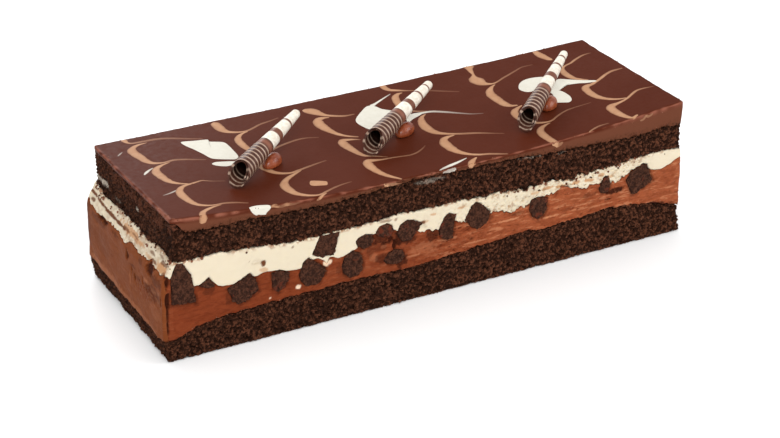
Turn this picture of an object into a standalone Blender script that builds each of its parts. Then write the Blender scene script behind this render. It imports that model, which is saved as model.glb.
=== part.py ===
"""Chocolate mousse bar cake: two dark sponges, chocolate and cream mousse with brownie chunks, a ganache
top, and three rolled chocolate curls, each propped on a dab of chocolate.

Metres, +Z up. X runs along the bar and -Y is the face it is cut on. The origin is the middle of the
underside. Run with: blender --background --python part.py
"""

import math
import random

import bmesh
import bpy
from mathutils import Matrix, Vector, noise

# The bar
BAR_LENGTH = 0.309
BAR_WIDTH = 0.1014
LAYER_GAP = 0.0003  # clearance between neighbouring pieces
LENGTH_STEPS = 36
WIDTH_STEPS = 8

# Heights of the surfaces between the layers along the front face: place along the bar, and height
BASE_LINE = (
    (-0.1545, 0.0118),
    (-0.1480, 0.0126),
    (-0.1400, 0.0153),
    (-0.1300, 0.0174),
    (-0.1200, 0.0188),
    (-0.1000, 0.0199),
    (-0.0600, 0.0206),
    (-0.0100, 0.0199),
    (0.0200, 0.0213),
    (0.0400, 0.0225),
    (0.0600, 0.0234),
    (0.0800, 0.0235),
    (0.1150, 0.0246),
    (0.1250, 0.0235),
    (0.1400, 0.0203),
    (0.1545, 0.0160),
)
CREAM_LINE = (
    (-0.1545, 0.0385),
    (-0.1280, 0.0398),
    (-0.1180, 0.0356),
    (-0.0990, 0.0378),
    (-0.0800, 0.0353),
    (-0.0700, 0.0382),
    (-0.0570, 0.0360),
    (-0.0430, 0.0400),
    (-0.0280, 0.0428),
    (-0.0090, 0.0384),
    (0.0150, 0.0388),
    (0.0280, 0.0412),
    (0.0450, 0.0377),
    (0.0560, 0.0388),
    (0.0660, 0.0420),
    (0.0770, 0.0446),
    (0.0900, 0.0408),
    (0.1140, 0.0400),
    (0.1290, 0.0459),
    (0.1340, 0.0430),
    (0.1400, 0.0414),
    (0.1470, 0.0430),
    (0.1545, 0.0460),
)
SPONGE_LINE = (
    (-0.1545, 0.0552),
    (-0.1300, 0.0548),
    (-0.1100, 0.0533),
    (-0.0900, 0.0512),
    (-0.0400, 0.0511),
    (-0.0200, 0.0518),
    (0.0100, 0.0516),
    (0.0400, 0.0505),
    (0.0600, 0.0498),
    (0.0720, 0.0502),
    (0.0830, 0.0485),
    (0.0970, 0.0490),
    (0.1100, 0.0502),
    (0.1400, 0.0521),
    (0.1545, 0.0508),
)
GANACHE_LINE = (
    (-0.1545, 0.0768),
    (-0.1450, 0.0706),
    (-0.1200, 0.0696),
    (-0.0800, 0.0680),
    (-0.0600, 0.0673),
    (-0.0200, 0.0695),
    (0.0200, 0.0693),
    (0.0500, 0.0680),
    (0.0850, 0.0660),
    (0.1200, 0.0650),
    (0.1545, 0.0664),
)
GANACHE_BACK = 0.0695  # height of the ganache's underside along the back

# The same across the left end, from the front corner to the back one
CREAM_END_LINE = (
    (-0.0507, 0.0483),
    (-0.0320, 0.0484),
    (-0.0080, 0.0464),
    (0.0000, 0.0450),
    (0.0200, 0.0459),
    (0.0350, 0.0445),
    (0.0507, 0.0458),
)
SPONGE_END_LINE = (
    (-0.0507, 0.0552),
    (-0.0380, 0.0564),
    (-0.0150, 0.0546),
    (0.0150, 0.0536),
    (0.0350, 0.0530),
    (0.0507, 0.0542),
)
GANACHE_END_THICKNESS = 0.0023
GANACHE_TOP = 0.0742
FRONT_RISE = 0.0078  # the top stands higher at the two front corners
FRONT_SAG = 0.0026  # and sags along the middle of the front edge
BACK_RISE_LEFT = 0.0008
BACK_RISE_RIGHT = 0.0021

# The ends of the bar: how far the lower layers stand out past the top sponge, and the foot past them
LEFT_OVERHANG = 0.0060
LEFT_FOOT = -0.0020
RIGHT_OVERHANG = 0.0022
RIGHT_FOOT = 0.0023
FACE_RELIEF = 0.0004
END_RELIEF = 0.0006

# Brownie chunks cut open on the front face: outlines in millimetres, along the bar and up
FRONT_CHUNKS = (
    ((-149.3, 32.0), (-135.6, 30.0), (-136.6, 39.8), (-138.0, 47.4), (-142.5, 56.0), (-146.0, 56.0), (-149.2, 47.5)),
    ((-135.0, 39.4), (-130.0, 36.8), (-125.0, 37.1), (-128.6, 43.4), (-132.2, 40.8)),
    ((-119.3, 34.2), (-116.8, 26.3), (-113.2, 23.1), (-107.0, 25.0), (-101.7, 28.2), (-103.2, 35.6), (-106.4, 39.8),
     (-115.2, 35.7)),
    ((-95.2, 36.9), (-95.0, 27.8), (-91.4, 24.2), (-87.0, 26.8), (-85.1, 30.6), (-85.0, 34.9), (-90.6, 37.7)),
    ((-80.0, 32.0), (-78.9, 26.6), (-74.6, 23.4), (-68.4, 23.6), (-65.0, 27.0), (-64.7, 32.4), (-74.6, 40.6),
     (-77.6, 38.4)),
    ((-72.6, 41.4), (-67.8, 38.5), (-60.2, 38.0), (-56.2, 53.0), (-68.0, 53.0), (-70.8, 45.6)),
    ((-56.2, 30.4), (-55.0, 25.4), (-50.6, 22.0), (-46.0, 22.6), (-43.5, 26.6), (-43.4, 31.4), (-45.0, 35.6),
     (-49.8, 38.4), (-54.4, 35.8)),
    ((-48.0, 42.6), (-47.0, 39.2), (-43.2, 36.9), (-39.2, 37.8), (-37.3, 41.6), (-38.2, 44.8), (-42.2, 45.8),
     (-46.6, 44.4)),
    ((-36.6, 45.4), (-34.4, 48.2), (-30.0, 49.2), (-26.8, 47.2), (-25.8, 43.6), (-27.6, 40.4), (-32.0, 40.8),
     (-35.8, 42.8)),
    ((-32.0, 27.4), (-29.6, 24.4), (-22.0, 23.9), (-19.5, 26.4), (-20.6, 31.4), (-24.6, 33.0), (-29.0, 31.8)),
    ((-24.4, 41.4), (-22.4, 46.2), (-18.4, 48.2), (-14.6, 47.4), (-8.4, 44.0), (-16.0, 35.6), (-20.4, 35.3),
     (-23.4, 38.6)),
    ((0.2, 37.6), (0.9, 33.2), (5.4, 30.0), (8.9, 30.7), (9.9, 38.6), (11.0, 43.9), (6.4, 46.3), (3.4, 44.4)),
    ((15.6, 39.2), (19.4, 46.8), (22.4, 48.6), (25.0, 47.4), (31.6, 41.4), (30.4, 36.6), (26.6, 33.2), (23.2, 32.2),
     (19.0, 35.2)),
    ((55.2, 41.0), (55.0, 35.8), (57.0, 31.2), (60.6, 29.1), (64.2, 30.4), (66.5, 35.4), (66.2, 41.0), (62.8, 42.6),
     (57.6, 42.5)),
    ((98.2, 38.6), (101.0, 45.3), (103.7, 45.3), (105.6, 40.6), (105.7, 36.0), (102.6, 34.3), (99.2, 35.4)),
    ((115.5, 39.4), (118.2, 44.2), (122.6, 45.6), (125.8, 47.5), (128.6, 47.0), (133.3, 35.3), (126.6, 31.8),
     (123.0, 29.6), (119.6, 29.7)),
)
BACK_CHUNK_COUNT = 12
BACK_CHUNK_SIZE = (0.009, 0.015)
BACK_CHUNK_HEIGHT = 0.0385
BACK_CHUNK_RISE = -0.016  # for each metre of length
CHUNK_DEPTH = 0.0095
CHUNK_INNER_SCALE = 0.72
CHUNK_PROUD = 0.0002
CHUNK_FLOOR = 0.0015  # least mousse left under a chunk
CUTTER_REACH = 0.002  # how far a pocket's cutter stands out of the face

# Curls: mouth and tip of the axis, seen from above, the height of the tip above the ganache and how
# thick the curl is against the first
CURLS = {
    "left": ((-0.0994, -0.0240), (-0.0500, 0.0113), 0.0160, 1.00),
    "middle": ((-0.0215, -0.0191), (0.0286, 0.0118), 0.0160, 1.00),
    "right": ((0.0631, -0.0317), (0.1098, 0.0070), 0.0180, 0.90),
}
CURL_MOUTH_RADIUS = 0.0054
CURL_TIP_RADIUS = 0.0022
CURL_TAPER = 1.25  # above 1 the mouth half stays wider than a cone
CURL_WALL = 0.0010
CURL_SEAM_STEP = 0.10  # the rolled sheet's outer edge stands this share of the radius proud
CURL_SEAM_TURN = 200  # where round the curl that edge is, in degrees
CURL_LIP_OUT = 0.0056  # the slanting mouth reaches this far out below
CURL_LIP_BACK = 0.0037  # and this far back above
CURL_LIP_FADE = 0.30
CURL_BORE = 0.78
CURL_SIDES = 16
CURL_RINGS = 11
CURL_BORE_RINGS = 6

# Dabs of chocolate that prop the curls
DAB_ALONG = 0.48  # place along the curl, as a share of its length
DAB_ASIDE = 0.0022
DAB_LENGTH = 0.0130
DAB_WIDTH = 0.0092
DAB_HEIGHT = 0.0062  # above the ganache
DAB_THICKNESS = 0.0100  # of the whole egg shape, the lower part of which the ganache cuts off


def clear_scene():
    for old in list(bpy.data.objects):
        bpy.data.objects.remove(old)


def blend(a, b, share):
    return a + (b - a) * share


def smooth(share):
    share = min(1.0, max(0.0, share))
    return share * share * (3 - 2 * share)


def ripple(x, y, size, seed):
    """Smooth uneven relief between about -1 and 1, with bumps of the given size."""
    return noise.noise(Vector((x / size, y / size, seed)))


# Heights of the surfaces between layers, over the plan of the bar


def underside(x, y):
    return 0.0


def along_line(line, place):
    """The height at a place, straight between the points of a line."""
    for (start, low), (end, high) in zip(line, line[1:]):
        if place < end:
            return blend(low, high, max(0.0, (place - start) / (end - start)))
    return line[-1][1]


def front_share(y):
    """1 along the front edge of the bar, falling away to 0 at the back."""
    return max(0.0, 0.5 - y / BAR_WIDTH) ** 1.3


def left_share(x, start):
    """0 up to the starting share of the half length, and 1 at the left end."""
    return smooth((-2 * x / BAR_LENGTH - start) / (0.99 - start))


def between_faces(line, x, y):
    """The front face follows the line, and the back one follows it turned end for end."""
    return blend(along_line(line, -x), along_line(line, x), front_share(y))


def base_top(x, y):
    return along_line(BASE_LINE, x) + 0.0004 * ripple(x, y, 0.022, 1.3)


def cream_bottom(x, y):
    body = between_faces(CREAM_LINE, x, y)
    return blend(body, along_line(CREAM_END_LINE, y), left_share(x, 0.90))


def sponge_bottom(x, y):
    body = between_faces(SPONGE_LINE, x, y)
    return blend(body, along_line(SPONGE_END_LINE, y), left_share(x, 0.90))


def ganache_bottom(x, y):
    body = blend(GANACHE_BACK, along_line(GANACHE_LINE, x), front_share(y))
    body += 0.0004 * ripple(x, y, 0.018, 2.6)
    return blend(body, ganache_top(x, y) - GANACHE_END_THICKNESS, left_share(x, 0.95))


def ganache_top(x, y):
    outwards = min(1.0, abs(2 * x / BAR_LENGTH)) ** 2.2
    front = FRONT_RISE * outwards - FRONT_SAG
    back = (BACK_RISE_RIGHT if x > 0 else BACK_RISE_LEFT) * outwards
    return GANACHE_TOP + blend(back, front, front_share(y))


# Faces round the bar


def end_outline(z, overhang, foot):
    """How far an end stands out past the top sponge at a height."""
    return overhang * (1 - smooth((z - 0.042) / 0.016)) + foot * (1 - smooth(z / 0.014))


def left_face(y, z):
    uneven = END_RELIEF * (1 + ripple(y, z, 0.012, 9.1))
    return LEFT_OVERHANG - BAR_LENGTH / 2 - end_outline(z, LEFT_OVERHANG, LEFT_FOOT) + uneven


def right_face(y, z):
    uneven = END_RELIEF * (1 + ripple(y, z, 0.012, 5.2))
    top = BAR_LENGTH / 2 - RIGHT_OVERHANG - RIGHT_FOOT
    return top + end_outline(z, RIGHT_OVERHANG, RIGHT_FOOT) - uneven


def front_face(x, z):
    return -BAR_WIDTH / 2 + FACE_RELIEF * (1 + ripple(x, z, 0.016, 3.4))


def back_face(x, z):
    return BAR_WIDTH / 2 - FACE_RELIEF * (1 + ripple(x, z, 0.016, 8.8))


def bar_point(u, v, lower, upper, w):
    """The point at shares u of the length, v of the width and w of the height between two surfaces."""
    x = BAR_LENGTH * (u - 0.5)
    y = BAR_WIDTH * (v - 0.5)
    z = blend(lower(x, y), upper(x, y), w)
    return Vector(
        (
            blend(left_face(y, z), right_face(y, z), u),
            blend(front_face(x, z), back_face(x, z), v),
            z,
        )
    )


# Materials and objects


def material(name, colour, roughness):
    made = bpy.data.materials.new(name)
    made.use_nodes = True
    shader = made.node_tree.nodes["Principled BSDF"]
    shader.inputs["Base Color"].default_value = (*colour, 1.0)
    shader.inputs["Roughness"].default_value = roughness
    shader.inputs["Metallic"].default_value = 0.0
    return made


def object_from(bm, name, finish):
    bmesh.ops.recalc_face_normals(bm, faces=bm.faces)
    mesh = bpy.data.meshes.new(name)
    bm.to_mesh(mesh)
    bm.free()
    if finish:
        mesh.materials.append(finish)
        mesh.shade_smooth()
        mesh.set_sharp_from_angle(angle=math.radians(35))
    made = bpy.data.objects.new(name, mesh)
    bpy.context.scene.collection.objects.link(made)
    return made


def as_cutter(obj, collection):
    """A cutter is a helper, so it is drawn as wire and left out of the model."""
    obj.hide_render = True
    obj.display_type = "WIRE"
    bpy.context.scene.collection.objects.unlink(obj)
    collection.objects.link(obj)


def cut_with(obj, collection):
    cut = obj.modifiers.new("pockets", "BOOLEAN")
    cut.operation = "DIFFERENCE"
    cut.operand_type = "COLLECTION"
    cut.collection = collection
    cut.solver = "EXACT"


# Layers


def layer(name, lower, upper, rows, finish, flat_base=False):
    """One layer of the bar between two height functions. Neighbours share the same grid, so they never cross."""
    bottom_gap = 0.0 if flat_base else LAYER_GAP / 2
    top_gap = 0.0 if upper is ganache_top else LAYER_GAP / 2

    def floor(x, y):
        return lower(x, y) + bottom_gap

    def ceiling(x, y):
        return upper(x, y) - top_gap

    bm = bmesh.new()
    points = {}

    def point(i, j, k):
        if (i, j, k) not in points:
            place = bar_point(i / LENGTH_STEPS, j / WIDTH_STEPS, floor, ceiling, k / rows)
            points[i, j, k] = bm.verts.new(place)
        return points[i, j, k]

    def panel(a, b, c, d):
        """A four-cornered patch, always split along the same diagonal."""
        bm.faces.new((point(*a), point(*b), point(*c)))
        bm.faces.new((point(*a), point(*c), point(*d)))

    for i in range(LENGTH_STEPS):
        for j in range(WIDTH_STEPS):
            panel((i, j, rows), (i + 1, j, rows), (i + 1, j + 1, rows), (i, j + 1, rows))
            if not flat_base:
                panel((i, j, 0), (i + 1, j, 0), (i + 1, j + 1, 0), (i, j + 1, 0))
        for k in range(rows):
            for j in (0, WIDTH_STEPS):
                panel((i, j, k), (i + 1, j, k), (i + 1, j, k + 1), (i, j, k + 1))
    for j in range(WIDTH_STEPS):
        for k in range(rows):
            for i in (0, LENGTH_STEPS):
                panel((i, j, k), (i, j + 1, k), (i, j + 1, k + 1), (i, j, k + 1))
    if flat_base:
        rim = [edge for edge in bm.edges if edge.is_boundary]
        bmesh.ops.contextual_create(bm, geom=rim)
    return object_from(bm, name, finish)


# Brownie chunks


def chunk_outline(width, height, tilt, sides, draw):
    """An uneven polygon of the given width and height round (0, 0), turned by its tilt."""
    raw = []
    for n in range(sides):
        angle = 2 * math.pi * (n + 0.5 + draw.uniform(-0.12, 0.12)) / sides - math.pi / 2
        reach = draw.uniform(0.92, 1.08)
        raw.append(Vector((math.cos(angle) * reach, math.sin(angle) * reach)))
    low = Vector((min(point.x for point in raw), min(point.y for point in raw)))
    high = Vector((max(point.x for point in raw), max(point.y for point in raw)))
    turn = Matrix.Rotation(math.radians(tilt), 2)
    outline = []
    for point in raw:
        share = Vector(((point.x - low.x) / (high.x - low.x), (point.y - low.y) / (high.y - low.y)))
        outline.append(turn @ Vector(((share.x - 0.5) * width, (share.y - 0.5) * height)))
    return outline


def chunk_solid(name, centre, outline, front, grow, outward, finish):
    """A wedge of brownie whose cut end lies on the bar's front or back face."""
    side = -1 if front else 1
    face = front_face if front else back_face
    rings = []
    bm = bmesh.new()
    for depth in (-outward, CHUNK_DEPTH + grow):
        ring = []
        scale = blend(1.0, CHUNK_INNER_SCALE, depth / CHUNK_DEPTH)
        for point in outline:
            away = point.normalized() * grow
            along = centre[0] + point.x * scale + away.x
            lowest = base_top(along, side * BAR_WIDTH / 2) + CHUNK_FLOOR - grow
            highest = sponge_bottom(along, side * BAR_WIDTH / 2) - LAYER_GAP + 2 * grow
            up = min(max(centre[1] + point.y * scale + away.y, lowest), highest)
            ring.append(bm.verts.new((along, face(along, up) - side * depth, up)))
        rings.append(ring)
    count = len(outline)
    for n in range(count):
        m = (n + 1) % count
        bm.faces.new((rings[0][n], rings[0][m], rings[1][m], rings[1][n]))
    for ring in rings:
        bm.faces.new(ring)
    bmesh.ops.triangulate(bm, faces=bm.faces)
    return object_from(bm, name, finish)


def brownie_chunk(name, centre, outline, front, pockets, finish):
    chunk_solid(name, centre, outline, front, 0.0, CHUNK_PROUD, finish)
    cutter = chunk_solid(name + "_cutter", centre, outline, front, LAYER_GAP, CUTTER_REACH, None)
    as_cutter(cutter, pockets)


def front_chunk(number, corners, pockets, finish):
    points = [Vector(corner) * 0.001 for corner in corners]
    centre = sum(points, Vector((0.0, 0.0))) / len(points)
    outline = [point - centre for point in points]
    brownie_chunk(f"brownie_front_{number:02d}", centre, outline, True, pockets, finish)


def back_chunks(pockets, finish):
    """The far face has its own chunks, spread along it with seeded unevenness."""
    draw = random.Random(11)
    pitch = 0.86 * BAR_LENGTH / BACK_CHUNK_COUNT
    for n in range(BACK_CHUNK_COUNT):
        along = pitch * (n - (BACK_CHUNK_COUNT - 1) / 2) + draw.uniform(-0.16, 0.16) * pitch
        up = BACK_CHUNK_HEIGHT + draw.uniform(-0.0045, 0.0045) + BACK_CHUNK_RISE * along
        width = draw.uniform(*BACK_CHUNK_SIZE)
        height = draw.uniform(*BACK_CHUNK_SIZE)
        tilt = draw.uniform(-40, 40)
        outline = chunk_outline(width, height, tilt, draw.choice((4, 5, 6, 7)), random.Random(200 + n))
        brownie_chunk(f"brownie_back_{n + 1:02d}", (along, up), outline, False, pockets, finish)


def brownies(pockets, finish):
    for n, corners in enumerate(FRONT_CHUNKS):
        front_chunk(n + 1, corners, pockets, finish)
    back_chunks(pockets, finish)


# Curls


def curl_frame(mouth, tip, tip_height, girth):
    """The ends of a curl's axis, and directions along it, to its side and up from it."""
    along = Vector((tip[0] - mouth[0], tip[1] - mouth[1], 0))
    tip_point = Vector((*tip, ganache_top(*tip) + tip_height))
    outside = CURL_MOUTH_RADIUS * girth * (1 + CURL_SEAM_STEP)
    rest = ganache_top(*mouth) + outside + LAYER_GAP
    slope = (tip_point.z - rest) / along.length
    mouth_point = Vector((*mouth, rest + CURL_LIP_OUT * slope))
    axis = (tip_point - mouth_point).normalized()
    side = axis.cross(Vector((0, 0, 1))).normalized()
    return mouth_point, tip_point, axis, side, side.cross(axis)


def curl_radius(share):
    """Tapering from the mouth to the tip, whose end is rounded."""
    body = blend(CURL_MOUTH_RADIUS, CURL_TIP_RADIUS, share**CURL_TAPER)
    rounding = math.sqrt(max(0.0, 1 - max(0.0, (share - 0.955) / 0.045) ** 2))
    return body * max(rounding, 0.30)


def curl_ring(bm, shape, share, inset):
    """One ring of the rolled sheet. Its first and last points share an angle, a step apart in radius."""
    mouth_point, tip_point, axis, side, up = curl_frame(*shape)
    fade = max(0.0, 1 - share / CURL_LIP_FADE)
    ring = []
    for n in range(CURL_SIDES + 1):
        turn = 2 * math.pi * n / CURL_SIDES + math.radians(CURL_SEAM_TURN)
        radius = curl_radius(share) * shape[3] * (1 + CURL_SEAM_STEP * n / CURL_SIDES) - inset
        height = math.sin(turn)
        slant = fade * blend(-CURL_LIP_OUT, CURL_LIP_BACK, 0.5 + 0.5 * height)
        centre = mouth_point.lerp(tip_point, share) + axis * slant
        ring.append(bm.verts.new(centre + (side * math.cos(turn) + up * height) * radius))
    return ring


def bridge(bm, first, second):
    count = len(first)
    for n in range(count):
        m = (n + 1) % count
        bm.faces.new((first[n], first[m], second[m], second[n]))


def curl(name, shape, finish):
    """A tapering roll of chocolate, open at its slanting mouth and closed at its tip."""
    bm = bmesh.new()
    shares = [(n / (CURL_RINGS - 1)) ** 0.9 for n in range(CURL_RINGS - 2)] + [0.965, 1.0]
    outer = [curl_ring(bm, shape, share, 0.0) for share in shares]
    bore_shares = [CURL_BORE * n / (CURL_BORE_RINGS - 1) for n in range(CURL_BORE_RINGS)]
    bore = [curl_ring(bm, shape, share, CURL_WALL) for share in bore_shares]
    for rings in (outer, bore):
        for first, second in zip(rings, rings[1:]):
            bridge(bm, first, second)
    bridge(bm, outer[0], bore[0])
    bm.faces.new(outer[-1])
    bm.faces.new(bore[-1])
    bmesh.ops.triangulate(bm, faces=bm.faces)
    return object_from(bm, name, finish)


def curl_envelope(name, shape):
    """The curl's outer shape with the clearance added, which hollows the top of its dab."""
    bm = bmesh.new()
    rings = [curl_ring(bm, shape, share, -LAYER_GAP) for share in (0.05, 0.25, 0.45, 0.65, 0.85)]
    for first, second in zip(rings, rings[1:]):
        bridge(bm, first, second)
    bm.faces.new(rings[0])
    bm.faces.new(rings[-1])
    bmesh.ops.triangulate(bm, faces=bm.faces)
    return object_from(bm, name, None)


def dab(name, shape, envelopes, finish):
    """A drop of chocolate that has run out on the ganache, longer along the curl resting on it."""
    mouth_point, tip_point, axis, side, _ = curl_frame(*shape)
    under = mouth_point.lerp(tip_point, DAB_ALONG) + side * DAB_ASIDE
    middle = ganache_top(under.x, under.y) + DAB_HEIGHT - DAB_THICKNESS / 2
    bm = bmesh.new()
    bmesh.ops.create_uvsphere(bm, u_segments=14, v_segments=9, radius=0.5)
    size = Matrix.Diagonal((DAB_LENGTH, DAB_WIDTH, DAB_THICKNESS, 1))
    turn = Matrix.Rotation(math.atan2(axis.y, axis.x), 4, "Z")
    bm.transform(Matrix.Translation((under.x, under.y, middle)) @ turn @ size)
    for vert in bm.verts:
        vert.co.z = max(vert.co.z, ganache_top(vert.co.x, vert.co.y) + LAYER_GAP)
    bmesh.ops.triangulate(bm, faces=bm.faces)
    cut_with(object_from(bm, name, finish), envelopes)


def curls(finish_curl, finish_dab):
    for place, shape in CURLS.items():
        curl("curl_" + place, shape, finish_curl)
        envelopes = bpy.data.collections.new("envelope_" + place)
        bpy.context.scene.collection.children.link(envelopes)
        as_cutter(curl_envelope(f"curl_{place}_cutter", shape), envelopes)
        dab("dab_" + place, shape, envelopes, finish_dab)


def main():
    clear_scene()
    sponge = material("dark_sponge", (0.030, 0.013, 0.008), 0.90)
    mousse = material("chocolate_mousse", (0.200, 0.062, 0.026), 0.55)
    cream = material("cream_mousse", (0.860, 0.740, 0.500), 0.50)
    glaze = material("ganache", (0.070, 0.020, 0.012), 0.30)
    brownie = material("brownie", (0.034, 0.018, 0.014), 0.85)
    rolled = material("rolled_chocolate", (0.120, 0.050, 0.030), 0.35)
    drop = material("chocolate_dab", (0.180, 0.040, 0.018), 0.20)

    pockets = bpy.data.collections.new("pockets")
    bpy.context.scene.collection.children.link(pockets)
    layer("sponge_base", underside, base_top, 3, sponge, flat_base=True)
    for soft in (
        layer("chocolate_mousse", base_top, cream_bottom, 3, mousse),
        layer("cream_mousse", cream_bottom, sponge_bottom, 2, cream),
    ):
        cut_with(soft, pockets)
    layer("sponge_top", sponge_bottom, ganache_bottom, 2, sponge)
    layer("ganache", ganache_bottom, ganache_top, 1, glaze)
    brownies(pockets, brownie)
    curls(rolled, drop)


main()
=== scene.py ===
import bisect
import math

import bmesh
import bpy
import numpy as np
from mathutils import Matrix, Vector, noise
from mathutils.geometry import convex_hull_2d
from mathutils.kdtree import KDTree


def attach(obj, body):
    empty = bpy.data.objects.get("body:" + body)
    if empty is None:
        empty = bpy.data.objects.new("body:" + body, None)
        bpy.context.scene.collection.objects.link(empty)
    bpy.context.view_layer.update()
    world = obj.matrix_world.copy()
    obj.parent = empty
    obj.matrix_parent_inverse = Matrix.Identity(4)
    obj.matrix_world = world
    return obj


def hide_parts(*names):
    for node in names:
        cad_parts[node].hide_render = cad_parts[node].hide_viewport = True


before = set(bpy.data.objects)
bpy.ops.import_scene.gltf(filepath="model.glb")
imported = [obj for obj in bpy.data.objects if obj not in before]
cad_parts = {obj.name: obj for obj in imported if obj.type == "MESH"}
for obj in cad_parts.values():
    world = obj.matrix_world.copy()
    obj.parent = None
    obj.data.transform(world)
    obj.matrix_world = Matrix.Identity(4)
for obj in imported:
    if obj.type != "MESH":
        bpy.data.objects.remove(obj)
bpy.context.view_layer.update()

mm = 0.001


# Small helpers


def mix(a, b, share):
    return a + (b - a) * share


def smooth(share):
    share = min(1.0, max(0.0, share))
    return share * share * (3 - 2 * share)


def bump(value, middle, reach):
    # 1 at the middle, falling to 0 at the reach
    return smooth(1 - abs(value - middle) / reach)


def ripple(x, y, size, seed):
    # uneven relief between about -1 and 1
    return noise.noise(Vector((x / size, y / size, seed)))


# The bar: the same driving sizes as the solids, in metres

bar = {
    "length": 0.309,
    "width": 0.1014,
    "ganacheTop": 0.0742,
    "frontRise": 0.0078,
    "frontSag": 0.0026,
    "backRiseLeft": 0.0008,
    "backRiseRight": 0.0021,
    "leftOverhang": 0.0060,
    "leftFoot": -0.0020,
    "rightOverhang": 0.0022,
    "rightFoot": 0.0023,
    "faceRelief": 0.0004,
    "endRelief": 0.0006,
    "corner": 0.0013,  # rounding of the upright corners
}
halfLength = bar["length"] / 2
halfWidth = bar["width"] / 2
skin = {  # how far in from each face its own marks reach, in metres
    "front": 0.0022,
    "long": 0.0012,  # an end's marks stop this far before the long faces
    "leftEnd": 0.0095,
    "rightEnd": 0.0008,
}

# Heights between the layers along the front face, in millimetres: place along the bar, and height
baseLine = (
    (-154.5, 11.8), (-148.0, 12.6), (-140.0, 15.3), (-130.0, 17.4), (-120.0, 18.8), (-100.0, 19.9),
    (-60.0, 20.6), (-10.0, 19.9), (20.0, 21.3), (40.0, 22.5), (55.0, 23.8), (62.0, 22.9), (80.0, 23.5),
    (97.0, 24.4), (115.0, 24.9), (125.0, 23.5), (140.0, 20.3), (154.5, 16.0),
)
creamLine = (
    (-154.5, 38.5), (-128.0, 39.8), (-124.0, 36.6), (-118.0, 35.6), (-103.0, 36.9), (-99.0, 37.8),
    (-93.0, 37.4), (-84.0, 35.3), (-79.0, 35.3), (-70.0, 38.6), (-65.5, 36.2), (-63.9, 34.0), (-62.4, 37.4),
    (-57.0, 35.8), (-50.0, 37.4), (-43.0, 40.0), (-36.5, 44.5), (-28.0, 42.8), (-25.4, 44.0), (-22.0, 42.0),
    (-13.0, 40.2), (-9.0, 38.5), (-2.0, 37.8), (5.0, 40.0), (11.5, 39.0), (15.0, 38.8), (28.0, 41.2),
    (33.0, 40.4), (38.0, 38.4), (45.0, 37.7), (54.0, 38.6), (60.0, 40.6), (66.0, 42.0), (72.0, 42.3),
    (76.5, 44.8), (80.0, 44.0), (85.0, 42.4), (90.0, 40.8), (103.0, 41.3), (108.0, 40.0), (114.0, 40.0),
    (118.0, 41.6), (129.0, 45.9), (131.0, 44.8), (134.0, 43.0), (137.0, 41.8), (140.0, 41.4), (143.0, 41.8),
    (147.0, 43.0), (151.0, 45.0), (154.5, 46.0),
)
spongeLine = (
    (-154.5, 55.2), (-130.0, 54.8), (-120.0, 54.1), (-110.0, 53.3), (-100.0, 52.3), (-90.0, 51.2),
    (-40.0, 51.1), (-20.0, 51.8), (-10.0, 51.2), (10.0, 51.7), (20.0, 51.0), (40.0, 50.5), (50.0, 49.6),
    (56.0, 48.4), (61.0, 49.6), (72.0, 50.2), (78.0, 49.4), (82.0, 47.9), (85.5, 48.2), (88.0, 49.7),
    (96.5, 48.7), (101.0, 49.8), (110.0, 50.2), (120.0, 50.9), (130.0, 51.7), (140.0, 52.1), (150.0, 51.3),
    (154.5, 50.8),
)
ganacheLine = (
    (-154.5, 76.8), (-145.0, 70.6), (-120.0, 69.6), (-80.0, 68.0), (-60.0, 67.3), (-20.0, 69.5),
    (20.0, 69.3), (50.0, 68.0), (85.0, 66.0), (120.0, 65.0), (154.5, 66.4),
)
ganacheBack = 69.5
# and across the left end, from its front corner to its back one
creamEndLine = (
    (-50.7, 48.3), (-40.0, 47.8), (-32.0, 48.6), (-25.0, 47.2), (-8.0, 46.4), (0.0, 44.9), (10.0, 45.6),
    (20.0, 46.0), (30.0, 44.6), (40.0, 44.5), (50.7, 46.0),
)
spongeEndLine = (
    (-50.7, 55.2), (-45.0, 56.0), (-38.0, 56.4), (-27.0, 55.5), (-15.0, 54.6), (0.0, 54.5), (15.0, 53.6),
    (35.0, 53.0), (50.7, 54.2),
)
ganacheEndThickness = 2.3

# Relief of the borders between layers, in metres: height, size and seed of each ripple
borderRipples = {
    "baseUneven": ((0.0004, 0.022, 1.3),),
    "baseRagged": ((0.0007, 0.0035, 21.5), (0.0005, 0.0014, 22.5)),
    "creamTorn": ((0.0019, 0.0040, 31.5), (0.0014, 0.0015, 32.5)),
    "spongeTorn": ((0.0010, 0.0032, 41.5), (0.0008, 0.0013, 42.5)),
    "glazeUneven": ((0.0004, 0.018, 2.6),),
    "glazeRagged": ((0.0007, 0.0060, 51.5), (0.0004, 0.0020, 52.5)),
}


def lineHeight(line, place):
    # the height in metres at a place in metres, along a line in millimetres
    at = place / mm
    last = len(line) - 1
    n = min(max(bisect.bisect(line, (at,)) - 1, 0), last - 1)
    (start, low), (end, high) = line[n], line[n + 1]
    before = line[max(n - 1, 0)]
    after = line[min(n + 2, last)]
    share = min(max((at - start) / (end - start), 0.0), 1.0)
    slopeIn = (high - before[1]) / (end - before[0]) * (end - start)
    slopeOut = (after[1] - low) / (after[0] - start) * (end - start)
    straight = mix(low, high, share)
    bend = share * (1 - share) * ((1 - share) * (slopeIn - (high - low)) - share * (slopeOut - (high - low)))
    return (straight + bend) * mm


def frontShare(y):
    # 1 along the front edge, falling away to 0 at the back
    return max(0.0, 0.5 - y / bar["width"]) ** 1.3


def leftShare(x, start):
    # 0 up to the starting share of the half length, and 1 at the left end
    return smooth((-x / halfLength - start) / (0.99 - start))


def rippled(border, x, y):
    return sum(height * ripple(x, y, size, seed) for height, size, seed in borderRipples[border])


def betweenFaces(line, x, y):
    # from the line along the front to the same line turned round along the back
    return mix(lineHeight(line, -x), lineHeight(line, x), frontShare(y))


def underside(x, y):
    return 0.0


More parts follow.
